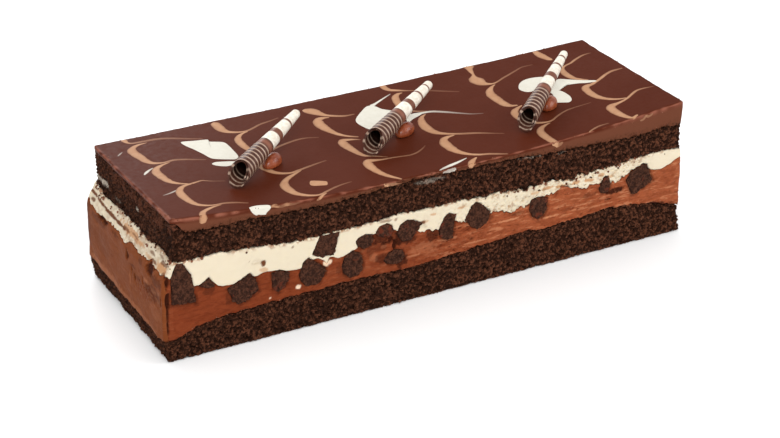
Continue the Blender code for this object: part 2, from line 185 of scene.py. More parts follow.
def baseTop(x, y):
    return lineHeight(baseLine, x) + rippled("baseUneven", x, y) + rippled("baseRagged", x, y)


def creamBottom(x, y):
    left = leftShare(x, 0.90)
    body = mix(betweenFaces(creamLine, x, y), lineHeight(creamEndLine, y), left)
    torn = max(0.7 * left, 0.15 + 0.85 * smooth((x + 0.03) / 0.03) * (1 - smooth((x - 0.126) / 0.004)))
    return body + torn * rippled("creamTorn", x, y)


def spongeBottom(x, y):
    body = mix(betweenFaces(spongeLine, x, y), lineHeight(spongeEndLine, y), leftShare(x, 0.90))
    torn = 0.7 + 1.1 * bump(x, 0.065, 0.060)
    return body + torn * rippled("spongeTorn", x, y)


def ganacheBottom(x, y):
    body = mix(ganacheBack * mm, lineHeight(ganacheLine, x), frontShare(y))
    body = body + rippled("glazeUneven", x, y) + rippled("glazeRagged", x, y)
    return mix(body, ganacheTop(x, y) - ganacheEndThickness * mm, leftShare(x, 0.95))


def ganacheTop(x, y):
    outwards = min(1.0, abs(x / halfLength)) ** 2.2
    front = bar["frontRise"] * outwards - bar["frontSag"]
    back = (bar["backRiseRight"] if x > 0 else bar["backRiseLeft"]) * outwards
    return bar["ganacheTop"] + mix(back, front, frontShare(y))


def endOutline(z, overhang, foot):
    return overhang * (1 - smooth((z - 0.042) / 0.016)) + foot * (1 - smooth(z / 0.014))


def leftFace(y, z):
    uneven = bar["endRelief"] * (1 + ripple(y, z, 0.012, 9.1))
    top = bar["leftOverhang"] - halfLength
    return top - endOutline(z, bar["leftOverhang"], bar["leftFoot"]) + uneven


def rightFace(y, z):
    uneven = bar["endRelief"] * (1 + ripple(y, z, 0.012, 5.2))
    top = halfLength - bar["rightOverhang"] - bar["rightFoot"]
    return top + endOutline(z, bar["rightOverhang"], bar["rightFoot"]) - uneven


def frontFace(x, z):
    return -halfWidth + bar["faceRelief"] * (1 + ripple(x, z, 0.016, 3.4))


def backFace(x, z):
    return halfWidth - bar["faceRelief"] * (1 + ripple(x, z, 0.016, 8.8))


def barPlace(u, v):
    return bar["length"] * (u - 0.5), bar["width"] * (v - 0.5)


def barPoint(u, v, z, inset):
    # the point at shares u of the length and v of the width, drawn in from the faces by the inset
    x, y = barPlace(u, v)
    left = leftFace(y, z)
    right = rightFace(y, z)
    front = frontFace(x, z)
    back = backFace(x, z)
    px = mix(left, right, u) + inset * (1 - 2 * u)
    py = mix(front, back, v) + inset * (1 - 2 * v)
    corner = bar["corner"]
    a = max(0.0, corner - (px - left), corner - (right - px))
    b = max(0.0, corner - (py - front), corner - (back - py))
    if a > 0 and b > 0:  # the upright corners are rounded
        share = max(a, b) / math.hypot(a, b)
        px += (a - a * share) * (1 if u < 0.5 else -1)
        py += (b - b * share) * (1 if v < 0.5 else -1)
    return px, py, z


# Node building


def addNode(tree, kind, inputs=None, **settings):
    # settings are the node's own properties, and inputs are numbers or sockets to link
    made = tree.nodes.new(kind)
    for name, value in settings.items():
        setattr(made, name, value)
    for name, value in (inputs or {}).items():
        socket = made.inputs[name]
        if isinstance(value, bpy.types.NodeSocket):
            tree.links.new(value, socket)
        else:
            socket.default_value = value
    return made


def calc(tree, operation, a, b=0.0, clamp=False):
    made = addNode(tree, "ShaderNodeMath", {0: a, 1: b}, operation=operation, use_clamp=clamp)
    return made.outputs[0]


def times(tree, a, b, clamp=False):
    return calc(tree, "MULTIPLY", a, b, clamp)


def plus(tree, a, b, clamp=False):
    return calc(tree, "ADD", a, b, clamp)


def minus(tree, a, b, clamp=False):
    return calc(tree, "SUBTRACT", a, b, clamp)


def vectorCalc(tree, operation, a, b):
    return addNode(tree, "ShaderNodeVectorMath", {0: a, 1: b}, operation=operation).outputs[0]


def scaled(tree, vector, share):
    values = {0: vector, "Scale": share}
    return addNode(tree, "ShaderNodeVectorMath", values, operation="SCALE").outputs[0]


def noiseIn(tree, place, scale, detail, distortion=0.0):
    values = {"Vector": place, "Scale": scale, "Detail": detail, "Distortion": distortion}
    return addNode(tree, "ShaderNodeTexNoise", values).outputs["Fac"]


def ramp(tree, value, low, high, smoothly=True):
    # 0 below low and 1 above high
    made = addNode(tree, "ShaderNodeMapRange", {"Value": value, "From Min": low, "From Max": high})
    made.interpolation_type = "SMOOTHSTEP" if smoothly else "LINEAR"
    return made.outputs["Result"]


def blendColours(tree, share, a, b):
    made = addNode(tree, "ShaderNodeMix", {0: share}, data_type="RGBA")
    for socket, value in ((made.inputs[6], a), (made.inputs[7], b)):
        if isinstance(value, bpy.types.NodeSocket):
            tree.links.new(value, socket)
        else:
            socket.default_value = (*value, 1.0)
    return made.outputs[2]


def newTree(name, treeKind, inputs, outputs):
    # each input has its default, or the kind of its socket if it has no default
    tree = bpy.data.node_groups.new(name, treeKind)
    kinds = {float: "Float", int: "Int", tuple: "Vector"}
    for label, value in inputs.items():
        kind = value if isinstance(value, str) else kinds[type(value)]
        socket = tree.interface.new_socket(label, in_out="INPUT", socket_type="NodeSocket" + kind)
        if kind != value:
            socket.default_value = value
    for label, kind in outputs.items():
        tree.interface.new_socket(label, in_out="OUTPUT", socket_type="NodeSocket" + kind)
    return tree, tree.nodes.new("NodeGroupInput").outputs, tree.nodes.new("NodeGroupOutput").inputs


def newShaderGroup(name, inputs):
    return newTree(name, "ShaderNodeTree", inputs, {"Shade": "Float", "Height": "Float"})


def newMeshTree(name, inputs):
    inputs = {"Geometry": "Geometry", **inputs, "Material": "Material"}
    return newTree(name, "GeometryNodeTree", inputs, {"Geometry": "Geometry"})


def closeMeshTree(tree, geometry, given, result):
    real = addNode(tree, "GeometryNodeRealizeInstances", {"Geometry": geometry}).outputs[0]
    done = addNode(tree, "GeometryNodeSetMaterial", {"Geometry": real, "Material": given["Material"]})
    tree.links.new(done.outputs[0], result["Geometry"])
    return tree


def namedAttribute(tree, name):
    return addNode(tree, "GeometryNodeInputNamedAttribute", {"Name": name}).outputs["Attribute"]


def finishWith(obj, tree, values):
    # runs a node tree on an object, keeps its result as a plain mesh and takes the modifier off
    modifier = obj.modifiers.new(tree.name, "NODES")
    modifier.node_group = tree
    for item in tree.interface.items_tree:
        if item.item_type == "SOCKET" and item.in_out == "INPUT" and item.name in values:
            modifier[item.identifier] = values[item.name]
    return flatten(obj)


def flatten(obj):
    bpy.context.view_layer.update()
    graph = bpy.context.evaluated_depsgraph_get()
    evaluated = obj.evaluated_get(graph)
    mesh = bpy.data.meshes.new_from_object(evaluated, preserve_all_data_layers=True, depsgraph=graph)
    mesh.name = obj.name
    if obj.type != "MESH":
        made = bpy.data.objects.new(obj.name + "Mesh", mesh)
        bpy.context.scene.collection.objects.link(made)
        name = obj.name
        bpy.data.objects.remove(obj)
        made.name = name
        return made
    obj.modifiers.clear()
    obj.data = mesh
    return obj


def newObject(name, mesh):
    obj = bpy.data.objects.new(name, mesh)
    bpy.context.scene.collection.objects.link(obj)
    return obj


def solidMesh(node):
    # a solid of the frame, its corners welded
    bm = bmesh.new()
    bm.from_mesh(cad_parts[node].data)
    bmesh.ops.remove_doubles(bm, verts=bm.verts, dist=1e-5)
    return bm


def meshFrom(bm, name):
    mesh = bpy.data.meshes.new(name)
    bm.to_mesh(mesh)
    bm.free()
    return mesh


def rebuildFine(obj, voxel):
    remesh = obj.modifiers.new("fine", "REMESH")
    remesh.mode = "VOXEL"
    remesh.voxel_size = voxel


def paint(mesh, name, values):
    layer = mesh.attributes.get(name) or mesh.attributes.new(name, "FLOAT", "POINT")
    layer.data.foreach_set("value", np.asarray(values, dtype=np.float32))


# Surface relief by Geometry Nodes, pushed along the normals: lumps wherever the "relief" attribute allows
# them, and crumb grains and pores only where "torn" does too


def reliefTree():
    tree, given, result = newMeshTree(
        "surfaceRelief",
        {
            "Stretch": (1.0, 1.0, 1.0),
            "Lump Size": 0.006,
            "Lump Depth": 0.0004,
            "Grain Size": 0.0014,
            "Grain Depth": 0.0006,
            "Pore Size": 0.0030,
            "Pore Depth": 0.0010,
            "Pore Share": 0.35,
            "Seed": 0.0,
        },
    )
    place = addNode(tree, "GeometryNodeInputPosition").outputs[0]
    place = vectorCalc(tree, "MULTIPLY", place, given["Stretch"])

    def pattern(kind, size, **settings):
        scale = calc(tree, "DIVIDE", 1.0, given[size])
        return addNode(tree, kind, {"Vector": place, "W": given["Seed"], "Scale": scale}, **settings).outputs

    lumps = pattern("ShaderNodeTexNoise", "Lump Size", noise_dimensions="4D")["Fac"]
    grains = pattern("ShaderNodeTexVoronoi", "Grain Size", voronoi_dimensions="4D")["Distance"]
    fine = pattern("ShaderNodeTexNoise", "Grain Size", noise_dimensions="4D")["Fac"]
    pores = pattern("ShaderNodeTexNoise", "Pore Size", noise_dimensions="4D")["Fac"]
    lump = times(tree, minus(tree, lumps, 0.5), given["Lump Depth"])
    grain = times(tree, minus(tree, minus(tree, fine, grains), 0.2), given["Grain Depth"])
    threshold = minus(tree, 0.78, times(tree, given["Pore Share"], 0.6))
    deep = ramp(tree, pores, threshold, plus(tree, threshold, 0.16))
    pore = times(tree, times(tree, deep, given["Pore Depth"]), -1.0)
    height = plus(tree, lump, times(tree, plus(tree, grain, pore), namedAttribute(tree, "torn")))
    height = times(tree, height, namedAttribute(tree, "relief"))
    push = scaled(tree, addNode(tree, "GeometryNodeInputNormal").outputs["Normal"], height)
    # how deep the surface is pushed in; the materials darken it as painted shade in hollows and pores
    hollow = ramp(tree, height, 0.0002, -0.0010, smoothly=False)
    stored = addNode(
        tree,
        "GeometryNodeStoreNamedAttribute",
        {"Geometry": given["Geometry"], "Name": "hollow", "Value": hollow},
        domain="POINT",
    ).outputs[0]
    moved = addNode(tree, "GeometryNodeSetPosition", {"Geometry": stored, "Offset": push}).outputs[0]
    return closeMeshTree(tree, moved, given, result)


# Materials


def newMaterial(name, roughness, gloss, **constants):
    # gloss is the level of mirror reflection, 0.5 on a plain plastic
    material = bpy.data.materials.new(name)
    material.use_nodes = True
    tree = material.node_tree
    shader = tree.nodes["Principled BSDF"]
    shader.inputs["Roughness"].default_value = roughness
    shader.inputs["Specular IOR Level"].default_value = gloss
    for socket, value in constants.items():
        shader.inputs[socket.replace("_", " ")].default_value = value
    return material, tree, shader


def attribute(tree, name):
    return addNode(tree, "ShaderNodeAttribute", attribute_name=name).outputs["Fac"]


def objectPlace(tree, stretch=(1.0, 1.0, 1.0)):
    place = addNode(tree, "ShaderNodeTexCoord").outputs["Object"]
    return addNode(tree, "ShaderNodeMapping", {"Vector": place, "Scale": stretch}).outputs[0]


def grainGroup():
    # fine crumb: a shade from dark crevice to light grain, and its height
    tree, given, result = newShaderGroup("crumbGrain", {"Vector": "Vector", "Grain": 1200.0, "Contrast": 1.0})
    cells = addNode(tree, "ShaderNodeTexVoronoi", {"Vector": given["Vector"], "Scale": given["Grain"]})
    fine = noiseIn(tree, given["Vector"], times(tree, given["Grain"], 0.6), 4.0)
    height = minus(tree, fine, times(tree, cells.outputs["Distance"], 0.5))
    shade = times(tree, minus(tree, height, 0.22), given["Contrast"])
    shade = plus(tree, shade, 0.5, clamp=True)
    tree.links.new(shade, result["Shade"])
    tree.links.new(height, result["Height"])
    return tree


def smearGroup():
    # drawn-out streaks, as a knife leaves in something soft
    tree, given, result = newShaderGroup("knifeSmear", {"Vector": "Vector", "Streak": 260.0, "Waver": 0.6})
    broad = noiseIn(tree, given["Vector"], given["Streak"], 5.0, given["Waver"])
    fine = noiseIn(tree, given["Vector"], times(tree, given["Streak"], 3.1), 3.0)
    shade = plus(tree, times(tree, broad, 0.7), times(tree, fine, 0.3))
    tree.links.new(ramp(tree, shade, 0.30, 0.70), result["Shade"])
    tree.links.new(shade, result["Height"])
    return tree


crumbGrain = grainGroup()
knifeSmear = smearGroup()


def grain(tree, place, size, contrast):
    values = {"Vector": place, "Grain": 1 / size, "Contrast": contrast}
    made = addNode(tree, "ShaderNodeGroup", values, node_tree=crumbGrain)
    return made.outputs["Shade"], made.outputs["Height"]


def smear(tree, place, size, waver):
    values = {"Vector": place, "Streak": 1 / size, "Waver": waver}
    made = addNode(tree, "ShaderNodeGroup", values, node_tree=knifeSmear)
    return made.outputs["Shade"], made.outputs["Height"]


def layered(tree, colour, *layers):
    # lays colours over each other: each layer is its share, from 0 to 1, and its colour
    for share, over in layers:
        colour = blendColours(tree, share, colour, over)
    return colour


def addBump(tree, shader, height, strength, distance):
    made = addNode(tree, "ShaderNodeBump", {"Height": height, "Strength": strength, "Distance": distance})
    tree.links.new(made.outputs[0], shader.inputs["Normal"])


spongeLook = {
    # crevice is the dark of pores and low grain, mostly painted shade; the pale fleck is crumb colour and
    # partly a painted highlight on raised grain
    "crevice": (0.017, 0.0056, 0.0025),
    "crumb": (0.095, 0.0325, 0.0158),
    "fleckAndHighlight": (0.126, 0.050, 0.028),
    "cream": (0.540, 0.465, 0.380),
    "finish": (0.92, 0.08),  # roughness and gloss
    "grain": (0.0008, 1.6),  # size and contrast
    "bump": (0.9, 0.0006),  # strength and depth
}
crumbLook = dict(spongeLook, crevice=(0.030, 0.0100, 0.0045), crumb=(0.098, 0.0350, 0.0180))
paleCrumbLook = dict(
    spongeLook, crevice=(0.090, 0.026, 0.012), crumb=(0.210, 0.080, 0.045), fleckAndHighlight=(0.420, 0.230, 0.140)
)


def crumbMaterial(name, look):
    material, tree, shader = newMaterial(name, *look["finish"])
    shade, height = grain(tree, objectPlace(tree), *look["grain"])
    # painted shade and highlight: the grain's own height sets its shade, so low grain takes the dark crevice
    # colour and raised grain the pale fleck, darker still where the surface is pushed in
    lit = minus(tree, shade, times(tree, attribute(tree, "hollow"), 0.70), clamp=True)
    colour = layered(
        tree,
        look["crevice"],
        (ramp(tree, lit, -0.05, 0.55), look["crumb"]),
        (times(tree, attribute(tree, "glazed"), ramp(tree, shade, 0.1, 0.7)), glazeLook["side"]),
        (times(tree, attribute(tree, "cream"), ramp(tree, shade, 0.10, 0.50)), look["cream"]),
        (ramp(tree, lit, 0.60, 0.95), look["fleckAndHighlight"]),
        # painted shade on the left of the bar and in the gaps
        (attribute(tree, "shade"), look["crevice"]),
    )
    tree.links.new(colour, shader.inputs["Base Color"])
    addBump(tree, shader, height, *look["bump"])
    return material


mousseLook = {
    "dark": (0.128, 0.0235, 0.0072),
    "milk": (0.252, 0.056, 0.0190),
    "light": (0.345, 0.094, 0.037),
    "glint": (0.520, 0.215, 0.105),
    # darkest colour: painted shade in gaps, round chunks and along the base seam, and the real drawn-out
    # brownie
    "smearAndShade": (0.022, 0.0050, 0.0022),
    "nugget": (0.780, 0.600, 0.430),
    "end": (0.160, 0.0480, 0.0130),
    "finish": (0.55, 0.03),
    "soft": {"Subsurface_Weight": 0.12, "Subsurface_Radius": (1.0, 0.35, 0.15), "Subsurface_Scale": 0.0015},
    "smear": (0.0060, 0.8),  # size and waver
    "streak": (0.0030, 0.5),
    "grain": (0.0012, 1.0),
    "bump": (0.6, 0.0008),
}


def mousseMaterial():
    material, tree, shader = newMaterial("chocolateMousse", *mousseLook["finish"], **mousseLook["soft"])
    shade, height = smear(tree, objectPlace(tree, (1.0, 1.0, 3.2)), *mousseLook["smear"])
    drawn, drawnHeight = smear(tree, objectPlace(tree, (0.30, 1.0, 1.5)), *mousseLook["streak"])
    grainShade, grainHeight = grain(tree, objectPlace(tree), *mousseLook["grain"])
    torn = attribute(tree, "torn")
    light = attribute(tree, "light")
    patchy = times(tree, attribute(tree, "dark"), minus(tree, 1.7, grainShade))
    colour = layered(
        tree,
        mousseLook["dark"],
        (times(tree, shade, 0.55), mousseLook["milk"]),
        (times(tree, light, plus(tree, times(tree, shade, 0.6), 0.5), clamp=True), mousseLook["light"]),
        (attribute(tree, "end"), mousseLook["end"]),
        (times(tree, ramp(tree, drawn, 0.58, 0.95), times(tree, light, 0.75)), mousseLook["glint"]),
        (times(tree, ramp(tree, drawn, 0.40, 0.08), times(tree, torn, 0.85)), mousseLook["dark"]),
        # painted shade where the surface is pushed in
        (times(tree, ramp(tree, attribute(tree, "hollow"), 0.25, 0.8), 0.75), mousseLook["dark"]),
        (attribute(tree, "glint"), mousseLook["glint"]),
        # painted shade in gaps, round chunks and along the base seam, with the real brownie smears, broken up
        # by the grain
        (calc(tree, "MINIMUM", patchy, 1.0), mousseLook["smearAndShade"]),
        (attribute(tree, "nugget"), mousseLook["nugget"]),
        (times(tree, minus(tree, 1.0, grainShade), 0.25), mousseLook["dark"]),
    )
    tree.links.new(colour, shader.inputs["Base Color"])
    relief = plus(tree, height, times(tree, grainHeight, times(tree, torn, 0.8)))
    relief = plus(tree, relief, times(tree, drawnHeight, times(tree, torn, 2.0)))
    addBump(tree, shader, relief, *mousseLook["bump"])
    return material


creamLook = {
    "cream": (0.625, 0.545, 0.410),
    "shadow": (0.500, 0.350, 0.200),
    "speck": (0.120, 0.040, 0.015),
    "worked": (0.240, 0.095, 0.038),
    "caramel": (0.440, 0.205, 0.078),
    "dull": (0.430, 0.335, 0.235),
    "finish": (0.5, 0.06),
    "soft": {"Subsurface_Weight": 0.2, "Subsurface_Radius": (1.0, 0.75, 0.45), "Subsurface_Scale": 0.0020},
    "smear": (0.0050, 0.5),
    "grain": (0.0016, 1.4),
    "bump": (0.35, 0.0005),
}


def creamMaterial():
    material, tree, shader = newMaterial("creamMousse", *creamLook["finish"], **creamLook["soft"])
    shade, height = smear(tree, objectPlace(tree, (1.0, 1.0, 2.2)), *creamLook["smear"])
    grainShade, grainHeight = grain(tree, objectPlace(tree), *creamLook["grain"])
    colour = layered(
        tree,
        creamLook["cream"],
        (times(tree, ramp(tree, attribute(tree, "hollow"), 0.30, 0.85), 0.7), creamLook["shadow"]),
        # soiled cream on the cut, and painted shade over the left end's cream
        (times(tree, attribute(tree, "dull"), ramp(tree, shade, 1.2, 0.0)), creamLook["dull"]),
        (attribute(tree, "caramel"), creamLook["caramel"]),
        (attribute(tree, "speck"), creamLook["speck"]),
        (times(tree, attribute(tree, "stain"), ramp(tree, grainShade, 0.75, 0.45)), creamLook["worked"]),
    )
    tree.links.new(colour, shader.inputs["Base Color"])
    relief = plus(tree, height, times(tree, grainHeight, attribute(tree, "torn")))
    addBump(tree, shader, relief, *creamLook["bump"])
    return material


glazeLook = {
    "glaze": (0.069, 0.0132, 0.0050),
    "thinLipAndHighlight": (0.250, 0.088, 0.055),  # at the lip: the paler colour of the thin glaze, and a painted highlight along the edge
    "bloom": (0.092, 0.0225, 0.0120),
    "side": (0.118, 0.0385, 0.0203),
    "finish": (0.36, 0.022),
    "smear": (0.030, 0.3),
    "mottle": (420.0, 3.0),  # scale and detail of the uneven shine
    "bump": (0.06, 0.0006),
}


def glazeMaterial():
    material, tree, shader = newMaterial("ganache", *glazeLook["finish"])
    shade, _ = smear(tree, objectPlace(tree), *glazeLook["smear"])
    crumb, crumbHeight = grain(tree, objectPlace(tree), *spongeLook["grain"])
    fringe = attribute(tree, "fringe")
    baked = blendColours(tree, ramp(tree, crumb, 0.0, 0.5), spongeLook["crevice"], spongeLook["crumb"])
    colour = layered(
        tree,
        glazeLook["glaze"],
        (times(tree, shade, 0.35), glazeLook["bloom"]),
        (attribute(tree, "side"), glazeLook["side"]),
        (times(tree, fringe, ramp(tree, crumb, 1.3, 0.3)), baked),
        # painted highlight along the lip, with the paler thin glaze there
        (attribute(tree, "rim"), glazeLook["thinLipAndHighlight"]),
    )
    tree.links.new(colour, shader.inputs["Base Color"])
    fine = noiseIn(tree, objectPlace(tree), *glazeLook["mottle"])
    tree.links.new(ramp(tree, fine, -0.6, 2.2, smoothly=False), shader.inputs["Roughness"])
    relief = times(tree, times(tree, crumbHeight, fringe), 8.0)
    addBump(tree, shader, plus(tree, fine, relief), *glazeLook["bump"])
    return material


strokeLook = {
    "caramel": ((0.380, 0.195, 0.105), (0.480, 0.275, 0.160)),  # deeper and brighter streaks
    "white": ((0.590, 0.560, 0.480), (0.660, 0.640, 0.570)),
    "finish": (0.40, 0.03),
    "smear": (0.0050, 0.6),
}


def strokeMaterial(kind):
    # a feathered stroke: it sinks into the glaze's own colour where it thins out
    material, tree, shader = newMaterial(kind + "Stroke", *strokeLook["finish"])
    shade, _ = smear(tree, objectPlace(tree), *strokeLook["smear"])
    body = blendColours(tree, times(tree, shade, 0.6), *strokeLook[kind])
    body = blendColours(tree, attribute(tree, "strength"), glazeLook["bloom"], body)
    tree.links.new(body, shader.inputs["Base Color"])
    return material


brownieLook = {
    "crevice": (0.024, 0.0080, 0.0041),
    "crumb": (0.074, 0.0268, 0.0140),
    "film": (0.095, 0.0200, 0.0090),  # of mousse smeared over it
    "patches": (330.0, 4.0),
    "finish": (0.88, 0.12),
    "grain": (0.0008, 1.2),
    "bump": (0.6, 0.0004),
}


def brownieMaterial():
    material, tree, shader = newMaterial("brownie", *brownieLook["finish"])
    place = objectPlace(tree)
    shade, height = grain(tree, place, *brownieLook["grain"])
    # painted shade: low grain and the surface pushed in take the dark crevice colour
    lit = minus(tree, shade, times(tree, attribute(tree, "hollow"), 0.6), clamp=True)
    patches = noiseIn(tree, place, *brownieLook["patches"])
    film = plus(tree, patches, times(tree, attribute(tree, "smear"), 0.22))
    colour = layered(
        tree,
        brownieLook["crevice"],
        (ramp(tree, lit, 0.0, 0.7), brownieLook["crumb"]),
        (ramp(tree, film, 0.66, 0.78), brownieLook["film"]),
    )
    tree.links.new(colour, shader.inputs["Base Color"])
    addBump(tree, shader, height, *brownieLook["bump"])
    return material


curlLook = {
    "dark": ((0.045, 0.0145, 0.0085), (0.085, 0.031, 0.0190)),
    "pale": ((0.610, 0.540, 0.440), (0.780, 0.740, 0.650)),
    "line": ((0.340, 0.220, 0.155), (0.490, 0.365, 0.280)),
    "warm": (0.210, 0.078, 0.046),
    # painted shade deep inside the rolled mouth
    "inside": (0.010, 0.0035, 0.0020),
    "finish": (0.38, 0.16),
    "smear": (0.0020, 0.4),
    "bump": (0.10, 0.0003),
}


def curlMaterial():
    material, tree, shader = newMaterial("rolledChocolate", *curlLook["finish"])
    shade, height = smear(tree, objectPlace(tree), *curlLook["smear"])
    colour = layered(
        tree,
        blendColours(tree, shade, *curlLook["dark"]),
        (attribute(tree, "warm"), curlLook["warm"]),
        # painted shade inside the curl
        (attribute(tree, "inside"), curlLook["inside"]),
        (attribute(tree, "rib"), blendColours(tree, shade, *curlLook["line"])),
        (attribute(tree, "stripe"), blendColours(tree, shade, *curlLook["pale"])),
    )
    tree.links.new(colour, shader.inputs["Base Color"])
    addBump(tree, shader, height, *curlLook["bump"])
    return material


dabLook = {
    "body": ((0.155, 0.0260, 0.0065), (0.300, 0.072, 0.026)),
    "finish": (0.24, 0.36),
    "smear": (0.0040, 0.3),
}


def dabMaterial():
    material, tree, shader = newMaterial("chocolateDab", *dabLook["finish"])
    shade, _ = smear(tree, objectPlace(tree), *dabLook["smear"])
    tree.links.new(blendColours(tree, shade, *dabLook["body"]), shader.inputs["Base Color"])
    return material


materials = {
    "sponge": crumbMaterial("darkSponge", spongeLook),
    "crumb": crumbMaterial("looseCrumb", crumbLook),
    "paleCrumb": crumbMaterial("paleCrumb", paleCrumbLook),
    "mousse": mousseMaterial(),
    "cream": creamMaterial(),
    "glaze": glazeMaterial(),
    "brownie": brownieMaterial(),
    "caramel": strokeMaterial("caramel"),
    "white": strokeMaterial("white"),
    "curl": curlMaterial(),
    "dab": dabMaterial(),
}
print("materials made")

surfaceRelief = reliefTree()


# Chunk outlines on the two long faces, read from the corners of the solids that lie on the cut

cutDepth = 0.0035


def chunkOutline(node, front):
    side = -1 if front else 1
    corners = [vert.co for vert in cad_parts[node].data.vertices]
    outermost = max(side * corner.y for corner in corners)
    face = {(round(co.x, 6), round(co.z, 6)) for co in corners if side * co.y > outermost - cutDepth}
    face = [Vector(point) for point in sorted(face)]
    return [face[n] for n in convex_hull_2d(face)]


chunkNodes = sorted(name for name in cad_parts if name.startswith("brownie_"))
chunkOutlines = {
    True: [chunkOutline(name, True) for name in chunkNodes if "front" in name],
    False: [chunkOutline(name, False) for name in chunkNodes if "back" in name],
}


def chunkDistance(x, z, front):
    # how far a place on a long face is outside the nearest chunk, below 0 inside it
    nearest = 1.0
    for outline in chunkOutlines[front]:
        if not outline[0].x - 0.03 < x < outline[0].x + 0.03:
            continue
        outside = -1.0
        for a, b in zip(outline, outline[1:] + outline[:1]):
            edge = b - a
            away = ((x - a.x) * edge.y - (z - a.y) * edge.x) / edge.length
            outside = max(outside, away)
        nearest = min(nearest, outside)
    return nearest


# Marks on the cut faces, in millimetres: place along the face, height, half width, half height, strength
frontMarks = {
    "gap": (  # hollows where the fillings came away: pushed in, and on the mousse darkened with painted shade
        (-151.2, 35.6, 1.4, 5.4, 1.0), (-151.3, 28.0, 0.6, 17.0, 0.8), (-25.6, 35.6, 1.5, 3.6, 1.0),
        (-28.0, 39.5, 1.6, 2.6, 0.9), (-30.5, 37.5, 3.2, 0.9, 0.8), (-151.0, 46.0, 1.0, 3.0, 0.9),
        (-9.0, 41.5, 2.6, 1.1, 0.7), (104.8, 30.5, 2.0, 0.6, 0.6), (20.0, 27.5, 1.6, 0.6, 0.6),
    ),
    "smear": (  # darker drawn-out brownie
        (108.6, 35.0, 5.6, 2.0, 0.85), (-3.0, 35.5, 3.6, 4.0, 0.6), (-20.0, 40.0, 6.0, 2.0, 0.45),
        (-34.0, 36.0, 4.0, 3.5, 0.35), (-27.0, 39.5, 9.0, 3.4, 0.4), (92.0, 36.0, 5.0, 1.4, 0.35),
        (30.0, 37.6, 3.0, 1.6, 0.35), (48.0, 35.8, 5.0, 1.2, 0.35), (-57.5, 29.0, 1.6, 4.0, 0.3),
        (-33.0, 42.0, 6.5, 4.6, 0.7), (-23.5, 38.5, 3.2, 4.6, 0.8), (-21.5, 25.5, 3.6, 4.6, 0.72),
        (-33.0, 29.5, 4.0, 3.4, 0.55), (-17.5, 36.2, 5.0, 2.2, 0.65), (-2.0, 38.0, 5.0, 2.6, 0.6),
        (-129.0, 36.0, 3.6, 3.0, 0.4), (-118.8, 28.0, 2.0, 4.2, 0.4), (-142.0, 30.8, 6.0, 0.8, 0.4),
        (-39.5, 35.0, 2.4, 4.0, 0.35),
    ),
    "glint": (  # paler streaks of mousse
        (42.5, 33.2, 9.5, 0.55, 0.9), (68.5, 29.0, 6.8, 0.5, 0.9), (5.0, 31.0, 6.0, 0.6, 0.6),
        (88.0, 31.5, 6.0, 0.5, 0.6), (-14.0, 26.4, 5.0, 0.6, 0.5), (22.0, 25.2, 7.0, 0.5, 0.6),
        (120.0, 31.2, 5.0, 0.4, 0.5), (100.0, 28.3, 8.0, 0.5, 0.5), (-37.5, 31.0, 2.6, 3.0, 0.25),
        (-31.6, 36.0, 1.6, 1.0, 0.25), (-8.0, 29.5, 9.0, 3.2, 0.22), (-33.0, 46.5, 2.4, 0.7, 0.3),
    ),
    "nugget": (  # pale bits in the mousse
        (-80.3, 24.9, 1.5, 1.5, 1.0), (-96.0, 22.6, 0.6, 0.6, 0.7), (-64.0, 34.8, 2.4, 1.6, 0.9),
    ),
    "speck": (  # dark crumbs in the cream
        (-99.4, 43.3, 1.3, 2.1, 1.0), (-83.3, 48.8, 0.8, 0.7, 1.0), (-107.2, 46.0, 0.4, 0.4, 0.7),
        (-9.2, 44.4, 1.5, 1.3, 0.9), (-31.0, 50.4, 4.0, 0.9, 0.6), (-24.8, 49.8, 1.0, 0.9, 0.6),
    ),
    "caramel": (  # caramel worked into the cream
        (-99.3, 39.8, 2.2, 1.8, 0.55), (-8.0, 44.5, 2.4, 1.0, 0.5), (-3.0, 47.6, 2.0, 0.8, 0.6),
        (66.0, 46.6, 3.4, 1.1, 0.8), (74.0, 45.9, 3.2, 1.0, 0.8), (83.5, 45.6, 3.0, 1.2, 0.8),
        (92.0, 45.0, 3.0, 1.1, 0.8), (99.0, 46.6, 2.6, 1.0, 0.7), (14.0, 47.4, 2.6, 0.9, 0.6),
        (58.0, 45.6, 3.0, 0.9, 0.6), (78.5, 49.0, 3.0, 0.9, 0.6), (88.0, 49.4, 3.0, 0.9, 0.6),
        (104.0, 44.2, 2.4, 0.9, 0.6), (24.0, 45.6, 2.4, 0.9, 0.5),
    ),
    "shade": (  # painted shade on the sponge, black in the gaps
        (-148.4, 70.5, 1.7, 6.4, 1.0), (-149.6, 62.0, 1.4, 5.0, 0.6), (-146.0, 57.0, 6.0, 1.6, 0.5),
    ),
    "cream": (  # cream wiped on the sponge
        (-5.0, 67.4, 8.0, 1.3, 0.27), (55.5, 68.0, 9.0, 0.8, 0.25), (75.0, 67.0, 4.5, 0.8, 0.22),
    ),
    "dull": (  # soiled cream on the cut, and painted shade over the cream of the left end
        (-102.8, 45.0, 3.4, 1.6, 0.7), (-18.0, 47.0, 5.0, 2.6, 0.3), (56.0, 43.4, 6.0, 2.4, 0.3),
    ),
}
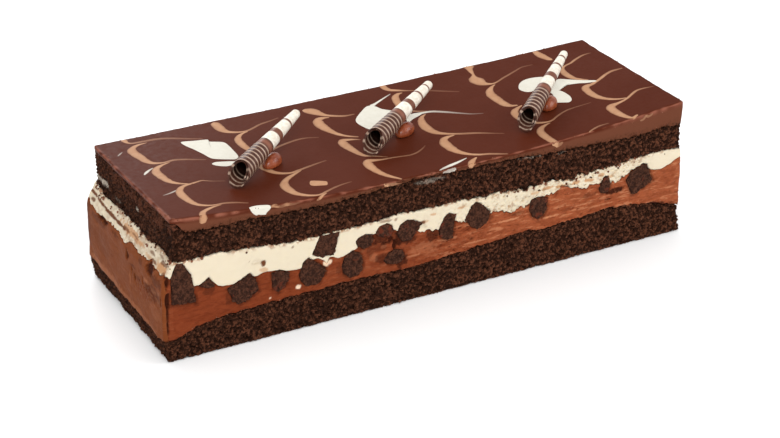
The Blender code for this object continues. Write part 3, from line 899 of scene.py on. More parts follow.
endMarks = {
    "gap": (
        (28.0, 43.9, 6.6, 1.3, 1.0), (-33.4, 45.8, 4.4, 3.0, 0.9), (-5.5, 40.4, 2.0, 2.6, 0.9),
        (-13.5, 30.8, 0.8, 2.2, 0.8), (-49.0, 36.0, 1.2, 5.0, 0.8), (-25.0, 35.0, 0.7, 2.6, 0.7),
        (-10.8, 34.6, 0.6, 2.4, 0.7),
    ),
    "smear": (
        (-38.0, 34.0, 12.0, 4.5, 0.4), (-22.0, 44.0, 3.0, 2.0, 0.35), (10.0, 43.5, 4.0, 1.0, 0.4),
        (32.0, 41.0, 11.0, 2.2, 0.35), (47.5, 34.0, 3.4, 14.0, 0.35), (-43.0, 42.5, 8.0, 2.6, 0.4),
        (-12.0, 36.6, 3.4, 1.0, 0.4), (30.0, 30.0, 16.0, 7.0, 0.12), (-18.0, 32.0, 4.0, 2.0, 0.25),
    ),
    "glint": (
        (-31.0, 37.6, 3.4, 1.3, 0.4), (-38.5, 35.6, 3.4, 1.1, 0.4), (-45.5, 37.0, 3.0, 1.0, 0.35),
        (-35.0, 32.0, 2.6, 0.9, 0.4), (-43.0, 32.6, 3.6, 0.9, 0.35), (-8.0, 27.0, 0.7, 5.0, 0.25),
        (28.0, 14.4, 24.0, 2.2, 0.3), (-12.0, 13.4, 30.0, 1.6, 0.25), (-40.0, 25.0, 8.0, 4.0, 0.1),
    ),
    "nugget": (),
    "speck": (
        (45.0, 50.2, 8.0, 0.75, 1.0), (34.0, 49.8, 9.0, 0.75, 1.0), (22.0, 49.4, 9.0, 0.85, 1.0),
        (11.0, 49.5, 9.0, 0.75, 1.0), (2.0, 50.2, 5.0, 0.7, 0.8), (-9.0, 51.2, 6.0, 0.5, 0.6),
        (-44.0, 52.6, 4.0, 1.1, 0.8), (-30.0, 52.0, 4.0, 0.8, 0.7), (-47.0, 48.6, 2.0, 1.4, 0.7),
        (-34.0, 49.6, 3.6, 0.9, 0.8), (-39.0, 54.2, 3.0, 0.7, 0.6), (44.0, 47.6, 3.0, 1.0, 0.9),
    ),
    "caramel": (
        (-5.0, 51.0, 16.0, 1.9, 0.75), (-44.0, 50.4, 6.5, 2.4, 0.85), (-30.0, 49.6, 6.0, 0.9, 0.5),
    ),
    "shade": (
        (-46.5, 66.0, 5.6, 5.0, 0.95), (-47.0, 59.0, 6.0, 3.0, 0.6), (20.0, 56.4, 34.0, 1.6, 0.7),
    ),
    "cream": (
        (40.5, 58.6, 10.0, 1.7, 1.0), (-5.5, 64.0, 2.4, 0.7, 0.8), (20.0, 57.0, 5.0, 0.6, 0.4),
    ),
    # painted shade over the cream of the left end
    "dull": (
        (25.0, 50.0, 34.0, 9.0, 0.45), (-28.0, 50.0, 30.0, 9.0, 0.85),
    ),
}


def onFront(y):
    return y < -halfWidth + skin["front"]


def onLeftEnd(x, y):
    return nearLeft(x, skin["leftEnd"]) and abs(y) < halfWidth - skin["long"]


def onRightEnd(x, y, z):
    return x > rightFace(y, z) - skin["rightEnd"] and abs(y) < halfWidth - skin["long"]


def nearLeft(x, reach):
    return x < -halfLength + reach


def markAt(kind, x, y, z):
    # how strongly a kind of mark lies at a place on the front or the left end
    if onFront(y):
        at, marks = x / mm, frontMarks
    elif onLeftEnd(x, y):
        at, marks = y / mm, endMarks
    else:
        return 0.0
    high = z / mm
    found = 0.0
    for middle, level, halfAlong, halfHigh, strength in marks[kind]:
        away = abs(at - middle) / halfAlong
        if away < 1.4:
            away = math.hypot(away, (high - level) / halfHigh) + 0.45 * ripple(at, high, 1.7, 91.5)
            found = max(found, strength * smooth((1.1 - away) / 0.35))
    return found


def marking(kind):
    return lambda x, y, z: markAt(kind, x, y, z)


# Layers: closed slabs with a dense wall all round and a coarse cover above and below

pressing = {  # how the soft layers give way, in metres
    "depth": 0.0011,
    "slope": 0.0006,
    "swell": 0.00018,
    "swellReach": 0.0010,
    "gap": 0.0012,
}


def edgeRows(roundLow, roundHigh, steps, middle):
    # rows of a wall from its foot to its top: which surface each is measured from, how far, and its inset
    rows = []
    for n in range(steps):
        angle = 0.5 * math.pi * n / steps
        rows.append(("low", roundLow * (1 - math.cos(angle)), roundLow * (1 - math.sin(angle))))
    for n in range(middle + 1):
        rows.append(("middle", n / middle, 0.0))
    for n in range(steps - 1, -1, -1):
        angle = 0.5 * math.pi * n / steps
        rows.append(("high", roundHigh * (1 - math.cos(angle)), roundHigh * (1 - math.sin(angle))))
    return rows


def rowHeight(row, low, high, shape):
    kind, amount, _ = row
    if kind == "low":
        return low + amount
    if kind == "high":
        return high - amount
    return mix(low + shape["roundLow"], high - shape["roundHigh"], amount)


def slabGrid(shape):
    # cells of the cover along and across, and into how many parts the wall splits each
    longCells, wideCells = shape["cells"]
    splitLong = max(1, round(bar["length"] / longCells / shape["spacing"]))
    splitWide = max(1, round(bar["width"] / wideCells / shape["spacing"]))
    return longCells, wideCells, splitLong, splitWide


def slabRing(longCount, wideCount):
    # once round the bar, in shares of its length and width
    ring = [(n / longCount, 0.0) for n in range(longCount)]
    ring += [(1.0, n / wideCount) for n in range(wideCount)]
    ring += [(1 - n / longCount, 1.0) for n in range(longCount)]
    ring += [(0.0, 1 - n / wideCount) for n in range(wideCount)]
    return ring


def ringColumn(i, j, grid):
    # the wall's column at a node on the edge of the cover
    longCells, wideCells, splitLong, splitWide = grid
    longCount, wideCount = longCells * splitLong, wideCells * splitWide
    if j == 0 and i < longCells:
        return i * splitLong
    if i == longCells and j < wideCells:
        return longCount + j * splitWide
    if j == wideCells and i > 0:
        return longCount + wideCount + (longCells - i) * splitLong
    return 2 * longCount + wideCount + (wideCells - j) * splitWide


def wallPoint(u, v, row, lower, upper, shape):
    place = barPlace(u, v)
    z = rowHeight(row, lower(*place) + shape["gapLow"], upper(*place) - shape["gapHigh"], shape)
    px, py, pz = barPoint(u, v, z, row[2])
    if shape.get("pressed"):
        if v in (0.0, 1.0):
            py += pressedIn(px, pz, v == 0.0) * (1 if v == 0.0 else -1)
        if v == 0.0:
            py += pressing["gap"] * markAt("gap", px, py, pz)
        elif u == 0.0:
            px += pressing["gap"] * markAt("gap", px, py, pz)
    return px, py, pz


def cover(verts, start, surface, gap, inset, grid):
    # a coarse grid over one side of a slab: adds its inner points, and gives its faces out to the wall
    longCells, wideCells, splitLong, splitWide = grid
    count = 2 * (longCells * splitLong + wideCells * splitWide)
    inner = {}
    for i in range(1, longCells):
        for j in range(1, wideCells):
            u, v = i / longCells, j / wideCells
            inner[i, j] = len(verts)
            verts.append(barPoint(u, v, surface(*barPlace(u, v)) + gap, inset))
    faces = []
    for i in range(longCells):
        for j in range(wideCells):
            face = []
            corners = [(i, j), (i + 1, j), (i + 1, j + 1), (i, j + 1)]
            for a, b in zip(corners, corners[1:] + corners[:1]):
                if a in inner:
                    face.append(inner[a])
                    continue
                first = ringColumn(*a, grid)
                face.append(start + first)
                alongFront = a[1] == b[1] and a[1] in (0, wideCells)
                alongEnd = a[0] == b[0] and a[0] in (0, longCells)
                if (alongFront or alongEnd) and b not in inner:
                    steps = splitLong if a[1] == b[1] else splitWide
                    face += [start + (first + n) % count for n in range(1, steps)]
            faces.append(face)
    return faces


def slab(name, lower, upper, shape):
    grid = slabGrid(shape)
    longCells, wideCells, splitLong, splitWide = grid
    ring = slabRing(longCells * splitLong, wideCells * splitWide)
    count = len(ring)
    rows = edgeRows(shape["roundLow"], shape["roundHigh"], shape["roundSteps"], shape["rows"])
    verts = [wallPoint(u, v, row, lower, upper, shape) for row in rows for u, v in ring]
    onWall = len(verts)
    faces = []
    for k in range(len(rows) - 1):
        for n in range(count):
            m = (n + 1) % count
            faces.append((k * count + n, k * count + m, (k + 1) * count + m, (k + 1) * count + n))
    bottom = cover(verts, 0, lower, shape["gapLow"], rows[0][2], grid)
    faces += [face[::-1] for face in bottom]
    faces += cover(verts, onWall - count, upper, -shape["gapHigh"], rows[-1][2], grid)
    mesh = bpy.data.meshes.new(name)
    mesh.from_pydata(verts, [], faces)
    mesh.shade_smooth()
    paint(mesh, "relief", [1.0] * onWall + [0.0] * (len(verts) - onWall))
    return newObject(name, mesh), verts


def pressedIn(x, z, front):
    # soft layers are pushed in behind a chunk and swell a little round it
    away = chunkDistance(x, z, front)
    inside = pressing["depth"] * smooth(-away / pressing["slope"])
    return inside - pressing["swell"] * bump(away, pressing["slope"], pressing["swellReach"])


def finishLayer(obj, verts, shape, marks, material, node, slotName):
    for attributeName, rule in marks.items():
        paint(obj.data, attributeName, [rule(*vert) for vert in verts])
    finishWith(obj, surfaceRelief, dict(shape["relief"], Material=material))
    obj.data.shade_smooth()
    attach(obj, "root")
    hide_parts(node)
    print(obj.name, "has", len(obj.data.polygons), "faces")


def spongeTorn(x, y, z):
    # open crumb everywhere, shallower at the very foot, which rests on the table
    return smooth(0.35 + z / 0.0008)


spongeRelief = {
    "Lump Size": 0.0075,
    "Lump Depth": 0.0011,
    "Grain Size": 0.0017,
    "Grain Depth": 0.0016,
    "Pore Size": 0.0020,
    "Pore Depth": 0.0018,
    "Pore Share": 0.44,
}
baseShape = {
    "cells": (36, 12),
    "spacing": 0.00048,
    "rows": 44,
    "roundSteps": 3,
    "roundLow": 0.0008,
    "roundHigh": 0.0005,
    "gapLow": 0.0,
    "gapHigh": 0.0,
    "relief": dict(spongeRelief, Seed=3.0),
    "heap": 3.0,  # how much thicker the crumbs lie at the foot of the left end
    "heapReach": 0.009,
    "endShade": 0.30,
    "sideShade": 0.13,
}


def crumbly(x, y, z):
    # where loose crumbs cling: in drifts, and most of all at the foot of the left end
    drift = 0.35 + 0.9 * smooth(0.5 + 1.2 * ripple(x + y, z, 0.007, 95.5))
    foot = baseShape["heap"] * smooth(1 - z / 0.006) if nearLeft(x, baseShape["heapReach"]) else 0.0
    return (drift + foot) * smooth((z - 0.0012) / 0.0008)


def spongeShade(x, y, z):
    # painted shade: darker towards the left of the bar, its end most of all, and black in the gaps
    left = baseShape["endShade"] if onLeftEnd(x, y) else baseShape["sideShade"] * smooth((0.06 - x) / 0.12)
    return max(left, markAt("shade", x, y, z))


def spongeGlazed(x, y, z):
    # glaze wiped over the top of the left end and round the corner
    if onFront(y):
        return smooth((-0.137 - x) / 0.003) * smooth((z - 0.0720) / 0.0014)
    if not onLeftEnd(x, y):
        return 0.0
    return smooth((z - ganacheBottom(x, y) + 0.008) / 0.006) * smooth(0.6 + 1.2 * ripple(y, z, 0.004, 97.5))


spongeMarks = {
    "torn": spongeTorn,
    "crumbly": crumbly,
    "cream": marking("cream"),
    "shade": spongeShade,
    "glazed": spongeGlazed,
}
base = slab("spongeBase", underside, baseTop, baseShape)
finishLayer(*base, baseShape, spongeMarks, materials["sponge"], "sponge_base", "dark_sponge")


# Chocolate mousse

mousseShape = {
    "cells": (36, 12),
    "spacing": 0.00058,
    "rows": 34,
    "roundSteps": 2,
    "roundLow": 0.0004,
    "roundHigh": 0.0004,
    "gapLow": 0.00005,
    "gapHigh": 0.00005,
    "pressed": True,
    "endSkin": 0.006,  # depth of the smooth skin on the left end
    "paler": 0.7,  # share of the paler, greyer colour laid on the ends
    "turn": 0.0033,  # how far that colour goes round the front corner
    "relief": {
        "Stretch": (1.0, 1.0, 2.4),
        "Lump Size": 0.0060,
        "Lump Depth": 0.0006,
        "Grain Size": 0.0022,
        "Grain Depth": 0.0007,
        "Pore Size": 0.0028,
        "Pore Depth": 0.0012,
        "Pore Share": 0.36,
        "Seed": 8.0,
    },
}


def mousseTorn(x, y, z):
    # the left of the cut is smooth, the middle most broken
    if nearLeft(x, mousseShape["endSkin"]):
        return 0.10 + 0.9 * bump(y, -0.028, 0.024) * bump(z, 0.031, 0.010)
    if onRightEnd(x, y, z):
        return 0.15
    return 0.06 + 0.40 * smooth((x + 0.045) / 0.05) + 0.45 * bump(x, 0.008, 0.035)


def mousseLight(x, y, z):
    # the ends are dark, and the cut is paler towards the right
    if nearLeft(x, mousseShape["endSkin"]) or onRightEnd(x, y, z):
        return 0.12
    return 0.20 * smooth((x + 0.10) / 0.08) + 0.55 * smooth((x + 0.02) / 0.06)


def mousseSmearAndShade(x, y, z):
    # painted shade in the gaps, round a chunk and along the seam above the base, and the darker drawn-out
    # brownie
    shade = 0.0
    if abs(y) > halfWidth - 0.003:
        away = chunkDistance(x, z, y < 0)
        shade = 0.45 * smooth(1 - away / 0.0016) * smooth(0.6 + 1.2 * ripple(x, z, 0.0022, 92.5))
    seamShade = 0.0
    if onFront(y):
        patchy = smooth(0.4 + 1.6 * ripple(x, z, 0.0045, 98.5))
        # painted shade along the seam above the base
        seamShade = 0.85 * patchy * smooth(1.3 - (z - baseTop(x, y)) / 0.0006)
    return max(0.95 * markAt("gap", x, y, z), markAt("smear", x, y, z), shade, seamShade)


def mousseEnd(x, y, z):
    # a paler, greyer colour on the ends, which on the left turns the corner before it meets the cut
    if (onLeftEnd(x, y) and not onFront(y)) or onRightEnd(x, y, z):
        return mousseShape["paler"]
    return mousseShape["paler"] * smooth((mousseShape["turn"] - halfLength - x) / 0.0008)


def mousseCrumbly(x, y, z):
    # pale crumbs dragged along the seam above the base
    spread = bump(x, 0.090, 0.020) + bump(x, 0.135, 0.014) + 0.25
    return spread * smooth(1.3 - (z - baseTop(x, y)) / 0.0009)


mousse = slab("chocolateMousse", baseTop, creamBottom, mousseShape)
finishLayer(
    *mousse,
    mousseShape,
    {
        "torn": mousseTorn,
        "light": mousseLight,
        "dark": mousseSmearAndShade,
        "end": mousseEnd,
        "crumbly": mousseCrumbly,
        "glint": marking("glint"),
        "nugget": marking("nugget"),
    },
    materials["mousse"],
    "chocolate_mousse",
    "chocolate_mousse",
)


# Cream mousse

creamShape = {
    "cells": (36, 12),
    "spacing": 0.00052,
    "rows": 20,
    "roundSteps": 3,
    "roundLow": 0.0007,
    "roundHigh": 0.0006,
    "gapLow": 0.00005,
    "gapHigh": 0.00005,
    "pressed": True,
    "endSkin": 0.010,
    "relief": {
        "Stretch": (1.0, 1.0, 1.5),
        "Lump Size": 0.0050,
        "Lump Depth": 0.0007,
        "Grain Size": 0.0016,
        "Grain Depth": 0.0008,
        "Pore Size": 0.0024,
        "Pore Depth": 0.0014,
        "Pore Share": 0.34,
        "Seed": 15.0,
    },
}


def creamTorn(x, y, z):
    # broken from the middle to just before the right end
    if nearLeft(x, creamShape["endSkin"]):
        return 0.15
    smoothEnd = 1 - smooth((x - 0.124) / 0.008)
    return 0.05 + 0.95 * smooth((x + 0.020) / 0.05) * smoothEnd


def creamStain(x, y, z):
    # crumbs and chocolate worked into the cream, most under the sponge and on the left end
    fromTop = spongeBottom(x, y) - z
    edge = 0.85 * smooth(1 - fromTop / 0.0016) * smooth(0.5 + ripple(x, y, 0.005, 61.5))
    if nearLeft(x, creamShape["endSkin"]):
        streak = smooth(1.4 * ripple(y, z, 0.004, 62.5))
        return max(edge, (0.25 if y > 0 else 0.65) * streak)
    middle = 0.55 * creamTorn(x, y, z) * smooth(1.6 * ripple(x, z, 0.0035, 63.5))
    return max(edge, middle)


def creamCrumbly(x, y, z):
    # dark crumbs dragged down out of the sponge above
    spread = 0.14 + 0.9 * smooth((x - 0.025) / 0.03) * (1 - smooth((x - 0.118) / 0.008))
    if nearLeft(x, creamShape["endSkin"]):
        spread = 1.0
    fromTop = spongeBottom(x, y) - z
    return spread * smooth(1.2 - fromTop / 0.0030) * smooth(0.5 + 1.6 * ripple(x, y, 0.005, 96.5))


cream = slab("creamMousse", creamBottom, spongeBottom, creamShape)
finishLayer(
    *cream,
    creamShape,
    {
        "torn": creamTorn,
        "stain": creamStain,
        "speck": marking("speck"),
        "caramel": marking("caramel"),
        "dull": marking("dull"),
        "crumbly": creamCrumbly,
    },
    materials["cream"],
    "cream_mousse",
    "cream_mousse",
)


# Top sponge

topShape = dict(
    baseShape,
    rows=38,
    roundLow=0.0005,
    roundHigh=0.00015,
    gapLow=0.00005,
    relief=dict(spongeRelief, Seed=21.0),
)
top = slab("spongeTop", spongeBottom, ganacheBottom, topShape)
finishLayer(*top, topShape, spongeMarks, materials["sponge"], "sponge_top", "dark_sponge")


# Ganache

ganacheShape = {
    "cells": (270, 90),
    "spacing": 0.00058,
    "rows": 5,
    "roundSteps": 5,
    "roundLow": 0.00015,
    "roundHigh": 0.0008,
    "gapLow": 0.00005,
    "gapHigh": 0.0,
    "relief": {
        "Lump Size": 0.0050,
        "Lump Depth": 0.0005,
        "Grain Size": 0.0017,
        "Grain Depth": 0.0009,
        "Pore Size": 0.0021,
        "Pore Depth": 0.0010,
        "Pore Share": 0.36,
        "Seed": 33.0,
    },
}


def edgeDistance(x, y):
    # how far a place on the glaze is in from its nearest edge
    left = bar["leftOverhang"] - halfLength
    right = halfLength - bar["rightOverhang"] - bar["rightFoot"]
    return min(x - left, right - x, y + halfWidth, halfWidth - y)


def rimShare(x, y, z):
    # 1 on the lip, where the glaze is thin and a highlight is painted along the edge
    edge = edgeDistance(x, y)
    drop = ganacheTop(x, y) - z
    wander = 0.0005 * ripple(x, y, 0.005, 72.5)
    wide = 0.0011 if onLeftEnd(x, y) else 0.0006
    lip = smooth(1.4 - abs(edge - 0.0003 + wander) / wide) * smooth(1.4 - (drop + wander) / wide)
    return 0.85 * lip * smooth(0.62 + 0.9 * ripple(x + y, z, 0.004, 71.5))


def sideShare(x, y, z):
    # 1 on the upright side below the lip
    return smooth((ganacheTop(x, y) - z - 0.0012) / 0.0008)


def fringeShare(x, y, z):
    # the glaze wiped down the side gives way to the crumb towards its foot
    if edgeDistance(x, y) > 0.0012:
        return 0.0
    return smooth(1.1 - (z - ganacheBottom(x, y)) / 0.0034)


def ganacheCrumbly(x, y, z):
    return rimShare(x, y, z) + 0.08 * fringeShare(x, y, z)


ganache = slab("ganacheTop", ganacheBottom, ganacheTop, ganacheShape)
finishLayer(
    *ganache,
    ganacheShape,
    {
        "torn": fringeShare,
        "rim": rimShare,
        "side": sideShare,
        "fringe": fringeShare,
        "crumbly": ganacheCrumbly,
    },
    materials["glaze"],
    "ganache",
    "ganache",
)


# Loose crumbs scattered over the cut faces, thick where the "crumbly" attribute is high


def scatterTree():
    tree, given, result = newMeshTree(
        "looseCrumbs",
        {"Surface": "Object", "Density": 100000.0, "Smallest": 0.0002, "Largest": 0.0006, "Seed": 0},
    )

    def drawn(least, most, seed, kind):
        values = {"Min": least, "Max": most, "Seed": seed}
        return addNode(tree, "FunctionNodeRandomValue", values, data_type=kind).outputs["Value"]

    surface = addNode(tree, "GeometryNodeObjectInfo", {"Object": given["Surface"]}).outputs["Geometry"]
    share = calc(tree, "MAXIMUM", namedAttribute(tree, "crumbly"), 0.0)
    points = addNode(
        tree,
        "GeometryNodeDistributePointsOnFaces",
        {"Mesh": surface, "Density": times(tree, share, given["Density"]), "Seed": given["Seed"]},
    )
    turn = drawn((0.0, 0.0, 0.0), (2 * math.pi,) * 3, 1, "FLOAT_VECTOR")
    odd = drawn((0.7, 0.7, 0.7), (1.3, 1.3, 1.3), 2, "FLOAT_VECTOR")
    size = drawn(given["Smallest"], given["Largest"], 3, "FLOAT")
    crumb = addNode(tree, "GeometryNodeMeshIcoSphere", {"Radius": 1.0, "Subdivisions": 1}).outputs["Mesh"]
    placed = addNode(
        tree,
        "GeometryNodeInstanceOnPoints",
        {
            "Points": points.outputs["Points"],
            "Instance": crumb,
            "Rotation": turn,
            "Scale": scaled(tree, odd, size),
        },
    ).outputs[0]
    return closeMeshTree(tree, placed, given, result)


looseCrumbs = scatterTree()


def scatter(name, layer, material, slotName, density, smallest, largest, seed):
    obj = newObject(name, bpy.data.meshes.new(name))
    values = {
        "Surface": layer[0],
        "Density": density,
        "Smallest": smallest,
        "Largest": largest,
        "Seed": seed,
        "Material": materials[material],
    }
    finishWith(obj, looseCrumbs, values)
    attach(obj, "root")
    print(obj.name, "has", len(obj.data.polygons), "faces")


crumbKinds = (  # name, layer, material, slot, how many on a square metre, least and largest radius, seed
    ("crumbsBase", base, "crumb", "dark_sponge", 150000.0, 0.0003, 0.0007, 1),
    ("crumbsFoot", base, "crumb", "dark_sponge", 22000.0, 0.0005, 0.0011, 6),
    ("crumbsTop", top, "crumb", "dark_sponge", 130000.0, 0.0003, 0.0007, 2),
    ("crumbsCream", cream, "crumb", "dark_sponge", 110000.0, 0.0003, 0.0007, 3),
    ("crumbsCreamPale", cream, "paleCrumb", "dark_sponge", 170000.0, 0.0003, 0.0009, 7),
    ("crumbsSeam", mousse, "paleCrumb", "dark_sponge", 250000.0, 0.0002, 0.0004, 4),
    ("crumbsLip", ganache, "paleCrumb", "ganache", 300000.0, 0.0002, 0.0004, 5),
)
for crumbKind in crumbKinds:
    scatter(*crumbKind)


# Brownie chunks

chunkShape = {
    "voxel": 0.00055,
    "proud": 0.0001,  # how far a chunk stands out of the cut
    "relief": {
        "Lump Size": 0.0030,
        "Lump Depth": 0.0018,
        "Grain Size": 0.0012,
        "Grain Depth": 0.0010,
        "Pore Size": 0.0018,
        "Pore Depth": 0.0009,
        "Pore Share": 0.36,
    },
    "smeared": {4: 0.4, 9: 0.9, 10: 0.5, 11: 0.3, 12: 0.4, 14: 0.3, 15: 0.6},  # chunks of the front
    "smearedBack": 0.2,
}


def chunk(node, number, front):
    bm = solidMesh(node)
    for vert in bm.verts:
        vert.co.y += chunkShape["proud"] * (-1 if front else 1)
    name = ("brownieFront" if front else "brownieBack") + f"{number:02d}"
    obj = newObject(name, meshFrom(bm, name))
    rebuildFine(obj, chunkShape["voxel"])
    flatten(obj)
    smeared = chunkShape["smeared"].get(number, 0.0) if front else chunkShape["smearedBack"]
    for attributeName, value in (("relief", 1.0), ("torn", 1.0), ("smear", smeared)):
        paint(obj.data, attributeName, [value] * len(obj.data.vertices))
    values = dict(chunkShape["relief"], Seed=float(number), Material=materials["brownie"])
    finishWith(obj, surfaceRelief, values)
    obj.data.shade_smooth()
    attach(obj, "root")
    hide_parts(node)


for node in chunkNodes:
    chunk(node, int(node[-2:]), "front" in node)
print("brownie chunks made")


# Rolled chocolate curls

curlShape = {
    "mouthRadius": 0.0054,
    "tipRadius": 0.0022,
    "taper": 1.25,
    "seamStep": 0.10,
    "seamTurn": 200,  # degrees
    "lipOut": 0.0056,
    "lipBack": 0.0037,
    "lipFade": 0.30,
    "gap": 0.0003,
    "wall": 0.0007,
    "innerTurns": 0.62,  # the sheet goes on rolling inside
    "innerStep": 0.36,
    "rings": 170,
    "sides": 60,
    "sheetEnd": 0.955,
    "tipRounding": 0.045,
    "coreStart": 0.80,  # a solid core closes the curl towards its tip
    "coreRings": 26,
    "ribPitch": 0.0465,  # raised pale lines on the lower part, in shares of the length
    "ribHalf": 0.185,  # half width and blurred edge of a line, in shares of the pitch
    "ribBlur": 0.11,
    "ribEnd": 0.365,
    "ribHeight": 0.00013,
    "bandBlur": 0.004,
}
curlPlaces = {  # mouth, tip, height of the tip over the glaze, and girth
    "left": ((-0.0994, -0.0240), (-0.0500, 0.0113), 0.0160, 1.00),
    "middle": ((-0.0215, -0.0191), (0.0286, 0.0118), 0.0160, 1.00),
    "right": ((0.0631, -0.0317), (0.1098, 0.0070), 0.0180, 0.90),
}
paleBands = {  # where each white band starts and ends, in shares of the length
    "left": ((0.446, 0.570), (0.632, 0.784), (0.806, 1.010)),
    "middle": ((0.432, 0.562), (0.618, 0.750), (0.770, 0.892), (0.906, 1.010)),
    "right": ((0.436, 0.560), (0.622, 0.752), (0.772, 0.884), (0.898, 1.010)),
}


def curlFrame(place):
    mouth, tip, tipHeight, girth = place
    along = Vector((tip[0] - mouth[0], tip[1] - mouth[1], 0))
    tipPoint = Vector((*tip, ganacheTop(*tip) + tipHeight))
    outside = curlShape["mouthRadius"] * girth * (1 + curlShape["seamStep"])
    rest = ganacheTop(*mouth) + outside + curlShape["gap"]
    slope = (tipPoint.z - rest) / along.length
    mouthPoint = Vector((*mouth, rest + curlShape["lipOut"] * slope))
    axis = (tipPoint - mouthPoint).normalized()
    side = axis.cross(Vector((0, 0, 1))).normalized()
    return mouthPoint, tipPoint, axis, side, side.cross(axis)


def curlRadius(share):
    body = mix(curlShape["mouthRadius"], curlShape["tipRadius"], share ** curlShape["taper"])
    past = max(0.0, (share - curlShape["sheetEnd"]) / curlShape["tipRounding"])
    return body * max(math.sqrt(max(0.0, 1 - past**2)), 0.02)


def ribAt(share):
    # how much a place along the curl is on one of the pale raised lines
    away = abs(share / curlShape["ribPitch"] % 1 - 0.5)
    line = smooth((curlShape["ribHalf"] - away) / curlShape["ribBlur"])
    return line * smooth((curlShape["ribEnd"] - share) / curlShape["bandBlur"])


def bandAt(bands, share):
    blur = curlShape["bandBlur"]
    return max(smooth((share - low) / blur) * smooth((high - share) / blur) for low, high in bands)


def curlPoint(frameOfCurl, girth, share, turns, inward):
    # a point on the rolled sheet, turns round from its outer edge
    mouthPoint, tipPoint, axis, side, up = frameOfCurl
    fade = max(0.0, 1 - share / curlShape["lipFade"])
    turn = 2 * math.pi * turns + math.radians(curlShape["seamTurn"])
    step = curlShape["seamStep"] if turns >= 0 else curlShape["innerStep"]
    radius = curlRadius(share) * girth * (1 + step * turns) - inward
    height = math.sin(turn)
    slant = fade * mix(-curlShape["lipOut"], curlShape["lipBack"], 0.5 + 0.5 * height)
    if turns >= 0 and inward == 0:
        along = share + slant / (tipPoint - mouthPoint).length
        radius += curlShape["ribHeight"] * (ribAt(along) - 1)
    centre = mouthPoint.lerp(tipPoint, share) + axis * slant
    return centre + (side * math.cos(turn) + up * height) * max(radius, 0.00005)


def curl(place, name, node):
    frameOfCurl = curlFrame(curlPlaces[place])
    girth = curlPlaces[place][3]
    rings = curlShape["rings"]
    sides = curlShape["sides"]
    innerSides = int(sides * curlShape["innerTurns"])
    turns = [n / sides for n in range(-innerSides, sides + 1)]
    count = len(turns)
    mouthPoint, tipPoint, axis = frameOfCurl[:3]
    length = (tipPoint - mouthPoint).length
    bm = bmesh.new()
    looks = []

    def vert(point, inner=False):
        along = (point - mouthPoint).dot(axis) / length
        rib = ribAt(along) * (0.8 * smooth((0.12 - along) / 0.10) if inner else 1.0)
        warm = bump(along, 0.400, 0.050) + 0.6 * smooth((along - 0.50) / 0.02)
        # painted shade: the inner wall darkens deeper into the curl
        depth = smooth((along + 0.03) / 0.10) if inner else 0.0
        looks.append((bandAt(paleBands[place], along), rib, 0.0 if inner else min(1.0, warm), depth))
        return bm.verts.new(point)

    outside = []
    inside = []
    for k in range(rings + 1):
        share = curlShape["sheetEnd"] * k / rings
        wall = min(curlShape["wall"], 0.30 * curlRadius(share))
        outside.append([vert(curlPoint(frameOfCurl, girth, share, turn, 0.0)) for turn in turns])
        inside.append([vert(curlPoint(frameOfCurl, girth, share, turn, wall), inner=True) for turn in turns])
    for k in range(rings):
        for n in range(count - 1):
            bm.faces.new((outside[k][n], outside[k][n + 1], outside[k + 1][n + 1], outside[k + 1][n]))
            bm.faces.new((inside[k][n], inside[k + 1][n], inside[k + 1][n + 1], inside[k][n + 1]))
        for n in (0, count - 1):
            bm.faces.new((outside[k][n], outside[k + 1][n], inside[k + 1][n], inside[k][n]))
    for k in (0, rings):
        for n in range(count - 1):
            bm.faces.new((outside[k][n], outside[k][n + 1], inside[k][n + 1], inside[k][n]))
    core = []
    for k in range(curlShape["coreRings"] + 1):
        share = mix(curlShape["coreStart"], 1.0, k / curlShape["coreRings"])
        under = 1e-6 + 0.0004 * smooth((0.965 - share) / 0.02)
        around = [(n + 0.5) / sides * 0.999 for n in range(sides)]
        core.append([vert(curlPoint(frameOfCurl, girth, share, turn, under)) for turn in around])
    for first, second in zip(core, core[1:]):
        for n in range(sides):
            m = (n + 1) % sides
            bm.faces.new((first[n], first[m], second[m], second[n]))
    bm.faces.new(core[0])
    bm.faces.new(core[-1])
    bmesh.ops.recalc_face_normals(bm, faces=bm.faces)
    mesh = meshFrom(bm, name)
    for attributeName, values in zip(("stripe", "rib", "warm", "inside"), zip(*looks)):
        paint(mesh, attributeName, values)
    mesh.shade_smooth()
    mesh.set_sharp_from_angle(angle=math.radians(50))
    obj = newObject(name, mesh)
    mesh.materials.append(materials["curl"])
    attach(obj, "root")
    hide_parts(node)


dabShape = {
    "longer": 1.14,
    "narrower": 0.94,
    "voxel": 0.0004,
    "softness": 0.5,
    "softenings": 8,
}


def dab(place, name, node):
    bm = solidMesh(node)
    middle = sum((vert.co for vert in bm.verts), Vector()) / len(bm.verts)
    along = curlFrame(curlPlaces[place])[2]
    along = Vector((along.x, along.y, 0)).normalized()
    across = Vector((-along.y, along.x, 0))
    for vert in bm.verts:
        away = vert.co - middle
        vert.co += along * away.dot(along) * (dabShape["longer"] - 1)
        vert.co += across * away.dot(across) * (dabShape["narrower"] - 1)
    obj = newObject(name, meshFrom(bm, name))
    rebuildFine(obj, dabShape["voxel"])
    soften = obj.modifiers.new("soften", "SMOOTH")
    soften.factor = dabShape["softness"]
    soften.iterations = dabShape["softenings"]
    flatten(obj)
    obj.data.materials.clear()
    obj.data.materials.append(materials["dab"])
    obj.data.shade_smooth()
    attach(obj, "root")
    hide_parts(node)


for place in curlPlaces:
    curl(place, "curl" + place.capitalize(), "curl_" + place)
    dab(place, "dab" + place.capitalize(), "dab_" + place)
print("curls and dabs made")


# The feathered pattern: strokes of caramel and white drawn across the glaze, in millimetres from the
# middle of the bar. Each point is place along, place across, width, and how strong the colour is (1 if it
# isn't given). Past 50.7 across, a stroke hangs over the lip by the rest.

